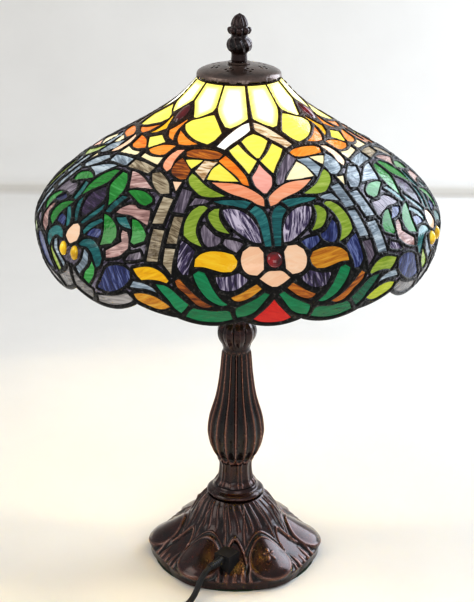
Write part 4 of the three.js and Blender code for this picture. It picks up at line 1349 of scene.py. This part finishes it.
def glass(name, dark, middle, light, streak, texture):
    """Rolled glass: streaks along each piece's own grain, with a painted glow and painted white hot
    spots standing in for the lamps' light shining through from behind.
    """
    material, tree, shader = new_material("glass_" + name)
    grain = add_node(tree, "ShaderNodeAttribute", {"attribute_name": "grain"})
    long = add_node(tree, "ShaderNodeMapping", Vector=grain.outputs["Vector"], Scale=(36, 230, 36))
    streaks = add_node(
        tree,
        "ShaderNodeTexNoise",
        Vector=long.outputs[0],
        Scale=1.0,
        Detail=5.0,
        Roughness=0.6,
        Distortion=1.4,
    )
    tone = add_node(tree, "ShaderNodeAttribute", {"attribute_name": "tone"}).outputs["Fac"]
    spread = add_node(
        tree,
        "ShaderNodeMapRange",
        {"clamp": False},
        Value=streaks.outputs["Fac"],
        From_Min=0.3,
        From_Max=0.7,
        To_Min=0.5 - 0.45 * streak,
        To_Max=0.5 + 0.45 * streak,
    )
    shifted = add_node(
        tree, "ShaderNodeMath", {"operation": "ADD"}, _0=spread.outputs[0], _1=tone
    )
    colour = ramp(tree, shifted.outputs[0], [(0.1, dark), (0.5, middle), (0.92, light)])
    # Painted hot spots: the middle of the palest crown panes is painted white, like a lamp seen through
    # them.
    painted_heat = add_node(tree, "ShaderNodeAttribute", {"attribute_name": "painted_hot_spot"}).outputs["Fac"]
    white = add_node(tree, "ShaderNodeRGB")
    white.outputs[0].default_value = linear("ffffff")
    painted_hot = add_node(
        tree,
        "ShaderNodeMix",
        {"data_type": "RGBA"},
        _0=painted_heat,
        _6=colour,
        _7=white.outputs[0],
    )
    # Painted light: the glass emits its own colour, as if the lamps lit it from behind.
    painted_glow = add_node(tree, "ShaderNodeAttribute", {"attribute_name": "painted_glow"}).outputs["Fac"]
    tree.links.new(painted_hot.outputs[2], shader.inputs["Emission Color"])
    tree.links.new(painted_glow, shader.inputs["Emission Strength"])
    body = add_node(
        tree,
        "ShaderNodeHueSaturation",
        Saturation=1.15,
        Value=0.42,
        Color=colour,
    )
    tree.links.new(body.outputs[0], shader.inputs["Base Color"])
    shader.inputs["Roughness"].default_value = 0.09
    shader.inputs["Specular IOR Level"].default_value = 0.4
    ripple = fine_noise(tree, 160, 3)
    add_bump(tree, shader, ripple, 0.25 + 0.5 * texture, 0.0012)
    return material


def whole_outline(kind, points):
    """The smooth outline of a pane, in degrees and millimetres, completed over its axis."""
    p = np.array(points, float)
    p[:, 1] = np.minimum(p[:, 1], rim_at(p[:, 0]) - rim_margin)
    axis = {"flower": 0.0, "leaf": half_sector}.get(kind)
    if axis is None:
        middle = p[:, 0].mean()
    else:
        middle = axis
        off_axis = p[abs(p[:, 0] - axis) > 1e-6]
        mirrored = off_axis[::-1] * [-1, 1] + [2 * axis, 0]
        p = np.vstack([p, mirrored])
    smooth = rounded(to_plane(p[:, 0], p[:, 1], middle))
    return np.stack(from_plane(smooth, middle), 1)


def pane_body(outline):
    """Points, faces and edge distances of one piece of glass with its edges under the lead."""
    middle = (outline[:, 0].min() + outline[:, 0].max()) / 2
    plane = to_plane(outline[:, 0], outline[:, 1], middle)
    ahead = np.roll(plane, -1, 0) - np.roll(plane, 1, 0)
    ahead /= np.linalg.norm(ahead, axis=1)[:, None]
    area = (plane[:, 0] * np.roll(plane[:, 1], -1) - np.roll(plane[:, 0], -1) * plane[:, 1]).sum()
    out = np.stack([ahead[:, 1], -ahead[:, 0]], 1) * (1 if area > 0 else -1)
    wide = plane + out * lead_under
    tree = edge_tree([wide], 0.7)
    extra = hex_points(wide.min(0), wide.max(0), pane_grid)
    extra = extra[inside(extra, wide)]
    if len(extra):
        extra = extra[distances(tree, extra) > pane_grid * 0.45]
    flat, triangles = triangulated([wide], extra, lambda centres: inside(centres, wide))
    a, s = from_plane(flat, middle)
    return flat, a, s, distances(tree, flat), triangles


# Painted glow: strongest at the crown, as if the lamps lit it most; only its palest panes are painted
# white in the middle as hot spots.
painted_glow_places = [0, 60, 110, 150, 277]
painted_glow_levels = [0.95, 0.8, 0.68, 0.5, 0.48]
painted_hot_glasses = ("straw", "white")
rng = np.random.default_rng(7)
sector_holes = []
glass_parts = {name: [] for name in glasses}
for right_glass, left_glass, kind, points in panes:
    outline = whole_outline(kind, points)
    flat, a, s, edge, triangles = pane_body(outline)
    mirrored_too = kind == "pair"
    for k in range(sector_count):
        axis = first_flower + sector_turn * k
        for name, sign in ((right_glass, 1), (left_glass, -1)):
            if sign == -1 and not mirrored_too:
                continue
            glass_parts[name].append((flat, axis + sign * a, s, edge, triangles))
    if kind == "leaf":
        half = outline[outline[:, 0] < half_sector + 1e-3]
        closing = np.linspace(half[-1, 1], half[0, 1], 30)
        beyond = np.full(len(closing), half_sector + sector_overlap)
        half = np.vstack([half, np.stack([beyond, closing], 1)])
        sector_holes += [half, half[::-1] * [-1, 1]]
    else:
        sector_holes.append(outline)
        if mirrored_too:
            sector_holes.append(outline[::-1] * [-1, 1])

for name, parts in glass_parts.items():
    points, faces, tones, painted_glows, painted_heats, grains = [], [], [], [], [], []
    for flat, angle, s, edge, triangles in parts:
        count = len(flat)
        first = len(points) and sum(len(p) for p in points)
        for lift in (glass_half, -glass_half):
            points.append(on_shade(angle, s, lift))
        faces += [tuple(first + i for i in f) for f in two_sided(triangles, count)]
        tone = rng.uniform(-0.16, 0.16)
        turn = rng.uniform(-0.5, 0.5) + (0 if name in ("iris", "dusk", "cobalt") else math.pi / 2)
        c, sn = math.cos(turn), math.sin(turn)
        local = np.stack(
            [flat[:, 0] * sn + flat[:, 1] * c, flat[:, 0] * c - flat[:, 1] * sn, 0 * s], 1
        )
        grain = local * mm + rng.uniform(0, 9, 3)
        painted_heat = soft_step(1.5, 9.5, edge) * soft_step(64, 44, s) * (name in painted_hot_glasses)
        painted_glow = np.interp(s, painted_glow_places, painted_glow_levels) + 0.4 * painted_heat
        for _ in range(2):
            tones.append(np.full(count, tone))
            painted_glows.append(painted_glow)
            painted_heats.append(painted_heat)
            grains.append(grain)
    piece = make_mesh(
        "glass_" + name, np.vstack(points), faces, glass(name, *glasses[name]), sharp=50
    )
    for label, values in (("tone", tones), ("painted_glow", painted_glows), ("painted_hot_spot", painted_heats)):
        piece.data.attributes.new(label, "FLOAT", "POINT").data.foreach_set(
            "value", np.concatenate(values)
        )
    piece.data.attributes.new("grain", "FLOAT_VECTOR", "POINT").data.foreach_set(
        "vector", np.vstack(grains).ravel()
    )
    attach(piece, "shade")

# ---------------------------------------------------------------------------
# Leading and rim: lead-tin solder run over the copper foil between the
# panes, in rounded dark seams, inside and out, painted brown towards the
# crown as if the lamps' light showed through. A half-round moulding is
# soldered all the way along the scalloped rim.
# ---------------------------------------------------------------------------
solder_grid = 1.35
solder_foot = 0.95
solder_rise = 1.2
seam_half = 1.9
solder_top = 0.8
rim_steps = 161
side_steps = 180
rim_gap = 0.8
rim_half_wide = 1.4
rim_half_high = 2.3

solder, solder_tree, solder_shader = new_material("dark_solder")
# Painted light: seams near the crown are painted warm brown, as if lit by the lamps behind them.
painted_warmth = add_node(solder_tree, "ShaderNodeAttribute", {"attribute_name": "painted_warm_light"}).outputs["Fac"]
cold = ramp(
    solder_tree, fine_noise(solder_tree, 260, 4), [(0.36, "050505"), (0.58, "141312"), (0.8, "6b6763")]
)
brown = ramp(
    solder_tree, fine_noise(solder_tree, 260, 4), [(0.3, "20120a"), (0.6, "432a17"), (0.78, "84603c")]
)
seam_colour = add_node(
    solder_tree, "ShaderNodeMix", {"data_type": "RGBA"}, _0=painted_warmth, _6=cold, _7=brown
)
solder_tree.links.new(seam_colour.outputs[2], solder_shader.inputs["Base Color"])
solder_shader.inputs["Metallic"].default_value = 0.6
solder_shader.inputs["Roughness"].default_value = 0.28
add_bump(solder_tree, solder_shader, fine_noise(solder_tree, 420, 3), 0.9, 0.001)

steps = np.linspace(-half_sector, half_sector, rim_steps)
rim_line = np.stack([steps, rim_at(steps) - rim_gap], 1)
top_steps = steps[::4]
top_line = np.stack([top_steps, np.full(len(top_steps), solder_top)], 1)
right_edge = np.linspace(solder_top, rim_line[-1, 1], side_steps)[1:-1]
right_line = np.stack([np.full(len(right_edge), half_sector), right_edge], 1)
border = np.vstack([top_line, right_line, rim_line[::-1], right_line[::-1] * [-1, 1]])
border_plane = to_plane(border[:, 0], border[:, 1])
hole_planes = [to_plane(h[:, 0], h[:, 1]) for h in sector_holes]
hole_tree = edge_tree(hole_planes)
border_tree = edge_tree([border_plane])
extra = hex_points(border_plane.min(0), border_plane.max(0), solder_grid)
extra = extra[inside(extra, border_plane)]
for hole in hole_planes:
    extra = extra[~inside(extra, hole)]
extra = extra[(distances(hole_tree, extra) > 0.5) & (distances(border_tree, extra) > 0.5)]


def on_seam(centres):
    kept = inside(centres, border_plane)
    for hole in hole_planes:
        kept &= ~inside(centres, hole)
    return kept


flat, triangles = triangulated([border_plane, *hole_planes], extra, on_seam)
seam_angle, seam_s = from_plane(flat)
seam_edge = distances(hole_tree, flat)
crest = np.sqrt(np.clip(1 - (1 - np.clip(seam_edge / seam_half, 0, 1)) ** 2, 0, 1))
uneven = 1 + 0.12 * np.sin(flat[:, 0] * 0.9 + 1.7 * np.sin(flat[:, 1] * 0.5))
height = solder_foot + solder_rise * crest * uneven
field = soft_step(100, 112, seam_s) * soft_step(262, 250, seam_s)
beside_flower = np.maximum(soft_step(24, 27, abs(seam_angle)), soft_step(192, 186, seam_s))
field = field * beside_flower
height = height - field * 1.9 * soft_step(2.4, 3.4, seam_edge)
seam_faces = two_sided(triangles, len(flat))
# Painted lamp light on the seams: full at the crown, fading out down the shade.
painted_warm_light = soft_step(120, 40, seam_s)
for k in range(sector_count):
    angle = seam_angle + first_flower + sector_turn * k
    points = np.vstack([on_shade(angle, seam_s, height), on_shade(angle, seam_s, -height)])
    leading = make_mesh("leading_%d" % (k + 1), points, seam_faces, solder, sharp=62)
    leading.data.attributes.new("painted_warm_light", "FLOAT", "POINT").data.foreach_set(
        "value", np.r_[painted_warm_light, painted_warm_light]
    )
    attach(leading, "shade")
    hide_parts("shade_flower_panel_%d" % (k + 1), "shade_leaf_panel_%d" % (k + 1))

in_field = (seam_edge > 2.4) & (field > 0.3)
field_triangles = triangles[in_field[triangles].all(1)]
used, field_triangles = np.unique(field_triangles, return_inverse=True)
field_triangles = field_triangles.reshape(-1, 3)
field_points, field_faces = [], []
for k in range(sector_count):
    first = 2 * len(used) * k
    for lift in (glass_half, -glass_half):
        field_points.append(
            on_shade(seam_angle[used] + first_flower + sector_turn * k, seam_s[used], lift)
        )
    field_faces += [tuple(first + i for i in f) for f in two_sided(field_triangles, len(used))]
field_glass = make_mesh(
    "glass_field",
    np.vstack(field_points),
    field_faces,
    glass("field", "251f2b", "554d5e", "9a93a4", 1.2, 0.8),
    sharp=50,
)
patch = 0.16 * np.sin(flat[used, 0] * 0.11 + 2) * np.sin(flat[used, 1] * 0.13)
patch = patch + 0.2 * soft_step(20, 60, seam_angle[used]) * soft_step(190, 150, seam_s[used])
# The textured filler gets a low, even painted glow and no painted hot spots.
for label, values in (
    ("tone", patch),
    ("painted_glow", np.full(len(used), 0.3)),
    ("painted_hot_spot", np.zeros(len(used))),
):
    field_glass.data.attributes.new(label, "FLOAT", "POINT").data.foreach_set(
        "value", np.tile(values, 2 * sector_count)
    )
grain = np.column_stack([flat[used] @ [[0.8, 0.6], [-0.6, 0.8]], np.zeros(len(used))]) * mm
field_glass.data.attributes.new("grain", "FLOAT_VECTOR", "POINT").data.foreach_set(
    "vector", np.tile(grain, (2 * sector_count, 1)).ravel()
)
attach(field_glass, "shade")

around = np.linspace(0, 360, 720, endpoint=False)
rim_fold = (around + half_sector) % sector_turn - half_sector
rim_path = on_shade(around + first_flower, rim_at(rim_fold), 0)
ring = [
    (rim_half_wide * math.cos(t), rim_half_high * math.sin(t))
    for t in np.linspace(0, 2 * math.pi, 12, endpoint=False)
]
rim_points, rim_faces = around_path(rim_path, ring, closed=True)
rim_bead = make_mesh("rim_bead", rim_points, rim_faces, solder)
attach(rim_bead, "shade")
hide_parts("rim_moulding")

# ---------------------------------------------------------------------------
# Jewels: pressed glass stones held by the solder. A round ruby is the heart
# of each flower, a long ruby sits in the crown above each leafy arch, and two
# yellow stones are the buds under it.
# ---------------------------------------------------------------------------
ruby_share = 0.733
crown_share = 0.145
bud_share = 0.79
bud_bearing = 2.6
stone_sizes = {"heart_stone": (7.2, 7.2), "ruby_stone": (5.6, 13.4), "yellow_stone": (4.6, 6.7)}


def gem(name, deep, body, flash, strength):
    material, tree, shader = new_material(name)
    depth = ramp(tree, fine_noise(tree, 90, 1), [(0.25, deep), (0.55, body), (0.85, flash)])
    tree.links.new(depth, shader.inputs["Base Color"])
    tree.links.new(depth, shader.inputs["Emission Color"])
    # Painted glow: the stone emits its own colour, as if the lamps shone through it.
    shader.inputs["Emission Strength"].default_value = strength
    shader.inputs["Roughness"].default_value = 0.05
    shader.inputs["Coat Weight"].default_value = 0.6
    return material


ruby_gem = gem("ruby_stone", "2a0204", "5f050c", "9c0f18", 0.25)
heart_gem = gem("heart_stone", "2c0104", "74040c", "a80c16", 0.22)
yellow_gem = gem("yellow_stone", "a57c00", "dcb70c", "f5e25a", 0.4)


def stone(name, angle, share, wide, tall, material):
    """A domed stone with a stepped girdle, set square to the shade."""
    s = share * curve_length
    centre = on_shade(np.array([angle]), np.array([s]), 0)[0]
    across = np.array([-math.sin(math.radians(angle)), math.cos(math.radians(angle)), 0])
    down = (on_shade(np.array([angle]), np.array([s + 1]), 0)[0] - centre)
    down /= np.linalg.norm(down)
    out = np.cross(down, across)
    if out[2] < 0 and share < 0.7 or np.dot(out[:2], centre[:2]) < 0:
        out = -out
    outline = [
        (0.55, -3.0), (0.85, -2.6), (1.0, -1.2), (1.0, 1.9), (0.93, 2.5), (0.84, 2.6),
        (0.76, 3.2), (0.6, 3.9), (0.38, 4.4), (0.16, 4.6),
    ]
    points, faces = turned(outline, 40)
    points = (
        centre
        + points[:, :1] * wide * across
        + points[:, 1:2] * tall * down
        + points[:, 2:3] * out
    )
    return make_mesh(name, points, faces, material, sharp=40)


for k in range(sector_count):
    flower_axis = first_flower + sector_turn * k
    leaf_axis = flower_axis + half_sector
    number = "%d" % (k + 1)
    stones = [
        ("ruby_heart_" + number, "flower_jewel_" + number, flower_axis, ruby_share, heart_gem),
        ("crown_ruby_" + number, "crown_jewel_" + number, leaf_axis, crown_share, ruby_gem),
    ]
    for mark, way in (("a", -1), ("b", 1)):
        name = "yellow_bud_%s_%s" % (number, mark)
        node = "leaf_jewel_%s%s" % (number, mark)
        stones.append((name, node, leaf_axis + way * bud_bearing, bud_share, yellow_gem))
    for name, node, angle, share, gem_glass in stones:
        wide, tall = stone_sizes[gem_glass.name]
        made = stone(name, angle, share, wide, tall, gem_glass)
        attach(made, "shade")
        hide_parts(node)

# ---------------------------------------------------------------------------
# Vent cap, washer and finial: a spun bronze cap with eight groups of four
# vent holes closes the crown. A cast acorn finial screws down on it: a plain
# shank, a bulb of curled leaves, a collar of leaf tips and a ribbed acorn.
# ---------------------------------------------------------------------------
cap_foot = 526.6
cap_rise = 12.2
cap_radius = 41.8
cap_outline = [
    (1.0, 0.0), (1.0, 0.14), (0.99, 0.3), (0.95, 0.45), (0.85, 0.62), (0.65, 0.82),
    (0.4, 0.96), (0.1, 1.0),
]
cap_thick = 1.1
cap_sides = 160
cap_bore = 5.0
vent_ring = 25.0
vent_spread = 3.6
vent_radius = 1.5
finial_foot = 541.0
finial_height = 46.3
finial_radius = 12.0
finial_outline = [
    (0.62, 0.0), (0.66, 0.04), (0.64, 0.15), (0.72, 0.2), (0.9, 0.26), (1.0, 0.34),
    (0.92, 0.42), (0.72, 0.49), (0.66, 0.53), (0.68, 0.57), (0.84, 0.63), (0.86, 0.68),
    (0.7, 0.72), (0.66, 0.78), (0.56, 0.86), (0.36, 0.94), (0.05, 1.0),
]

brown_bronze = bronze("brown_bronze", "33261f", "5a463d", "a8958c", roughness=0.3)
dome = smooth_path([(r * cap_radius, cap_foot + h * cap_rise) for r, h in cap_outline], 10)[::-1]


def circle(x, y, radius, sides):
    t = np.linspace(0, 2 * math.pi, sides, endpoint=False)
    return np.stack([x + radius * np.cos(t), y + radius * np.sin(t)], 1)


holes = [circle(0, 0, cap_bore, 32)]
for group in range(8):
    for k in range(4):
        way = math.radians((group + 0.5) * 45)
        turn = way + math.radians(90 * k)
        x = vent_ring * math.cos(way) + vent_spread * math.cos(turn)
        y = vent_ring * math.sin(way) + vent_spread * math.sin(turn)
        holes.append(circle(x, y, vent_radius, 12))
edge = circle(0, 0, cap_radius, cap_sides)
vent_tree = edge_tree([edge, *holes])
extra = hex_points(edge.min(0), edge.max(0), 1.6)
extra = extra[np.linalg.norm(extra, axis=1) < cap_radius - 0.6]
for hole in holes:
    extra = extra[~inside(extra, hole)]
extra = extra[distances(vent_tree, extra) > 0.6]
for share in (0.993, 0.978):
    extra = np.vstack([extra, circle(0, 0, cap_radius * share, cap_sides)])


def on_cap(centres):
    kept = inside(centres, edge)
    for hole in holes:
        kept &= ~inside(centres, hole)
    return kept


flat, triangles = triangulated([edge, *holes], extra, on_cap)
far = np.linalg.norm(flat, axis=1)
top = np.interp(far, dome[:, 0], dome[:, 1])
upper = np.column_stack([flat, top])
lower = np.column_stack([flat * 0.975, top - cap_thick])
lower[:, 2] = np.maximum(lower[:, 2], cap_foot)
cap = make_mesh(
    "spun_vent_cap",
    np.vstack([upper, lower]),
    two_sided(triangles, len(flat)),
    brown_bronze,
    sharp=50,
)
cap.data.attributes.new("rub", "FLOAT", "POINT").data.foreach_set(
    "value", np.tile(0.25 * soft_step(0.9, 1.0, far / cap_radius), 2)
)
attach(cap, "shade")
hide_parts("vent_cap")
dress(brown_bronze, "crown_ring", "finial_washer")

line, outward = along_outline(finial_outline, 170, (finial_radius, finial_height), finial_foot)
level = (line[:, 1:2] - finial_foot) / finial_height
bearing = np.linspace(0, 360, 192, endpoint=False)[None, :]
swirl = fold(bearing + 90 * level, 6)
bulb_zone = soft_step(0.18, 0.26, level) * soft_step(0.52, 0.44, level)
relief = bulb_zone * (1.7 * np.sqrt(np.clip(1 - (abs(swirl) / 30) ** 2, 0, 1)) - 1.2)
relief = relief + bulb_zone * 0.6 * hump(abs(swirl) - 13, 4)
collar_zone = soft_step(0.55, 0.6, level) * soft_step(0.74, 0.68, level)
relief = relief + collar_zone * (2.2 * abs(np.cos(np.radians(4 * bearing))) ** 0.8 - 0.8)
acorn_zone = soft_step(0.72, 0.78, level) * soft_step(1.0, 0.93, level)
relief = relief + acorn_zone * (0.9 * abs(np.cos(np.radians(5 * bearing))) - 0.4)
finial_bronze = bronze("finial_bronze", "0d0404", "2a0e0c", "63403a", roughness=0.24)
acorn = cast_piece("acorn_finial", line, outward, relief, finial_bronze)
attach(acorn, "finial")
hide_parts("finial")

# ---------------------------------------------------------------------------
# The table and the light: a plain pale floor and backdrop, a soft window
# light from the right and behind, weaker ones from the left and the front,
# and a small warm light where each lamp is.
# ---------------------------------------------------------------------------
pale_floor, floor_tree, floor_shader = new_material("pale_floor")
floor_tone = ramp(floor_tree, fine_noise(floor_tree, 6, 3), [(0.3, "e4e1db"), (0.7, "e8e5df")])
floor_tree.links.new(floor_tone, floor_shader.inputs["Base Color"])
floor_shader.inputs["Roughness"].default_value = 0.6
floor_reach = 3000
sweep = [
    (-floor_reach, 0.0), (900, 0.0), (1400, 60.0), (1700, 300.0), (1800, 700.0), (1800, 2600.0),
]
sweep = smooth_path([(0, y, z) for y, z in sweep], 8)
sweep[:, 2] = np.maximum(sweep[:, 2], 0)
floor_points = np.vstack([sweep + [-floor_reach, 0, 0], sweep + [floor_reach, 0, 0]])
backdrop = make_mesh(
    "floor_and_backdrop",
    floor_points,
    grid_faces(2, len(sweep), closed_columns=False),
    pale_floor,
)

world = bpy.data.worlds.new("studio")
scene.world = world
world.use_nodes = True
world.node_tree.nodes["Background"].inputs["Color"].default_value = linear("f4f6fa")
world.node_tree.nodes["Background"].inputs["Strength"].default_value = 0.55


def soft_light(name, place, aim, size, power, colour):
    lamp = bpy.data.lights.new(name, "AREA")
    lamp.shape = "RECTANGLE"
    lamp.size, lamp.size_y = size
    lamp.energy = power
    lamp.color = linear(colour)[:3]
    holder = bpy.data.objects.new(name, lamp)
    way = Vector(aim) - Vector(place)
    facing = way.to_track_quat("-Z", "Y").to_matrix().to_4x4()
    holder.matrix_world = Matrix.Translation(place) @ facing
    scene.collection.objects.link(holder)


soft_light("window", (1.5, 0.9, 1.1), (0, 0, 0.35), (1.3, 1.5), 34, "e4eefc")
soft_light("room", (-1.5, -0.6, 1.4), (0, 0, 0.3), (1.2, 1.0), 9, "fff8ee")
soft_light("front", (0.5, -2.2, 1.2), (0, 0, 0.3), (1.2, 1.0), 7, "ffffff")

for side, x in (("left", -0.03), ("right", 0.03)):
    inner = bpy.data.lights.new("lamp_light_" + side, "POINT")
    inner.energy = 2.5
    inner.shadow_soft_size = 0.01
    inner.color = linear("ffe9b8")[:3]
    holder = bpy.data.objects.new("lamp_light_" + side, inner)
    holder.location = (x, 0, 0.495)
    scene.collection.objects.link(holder)
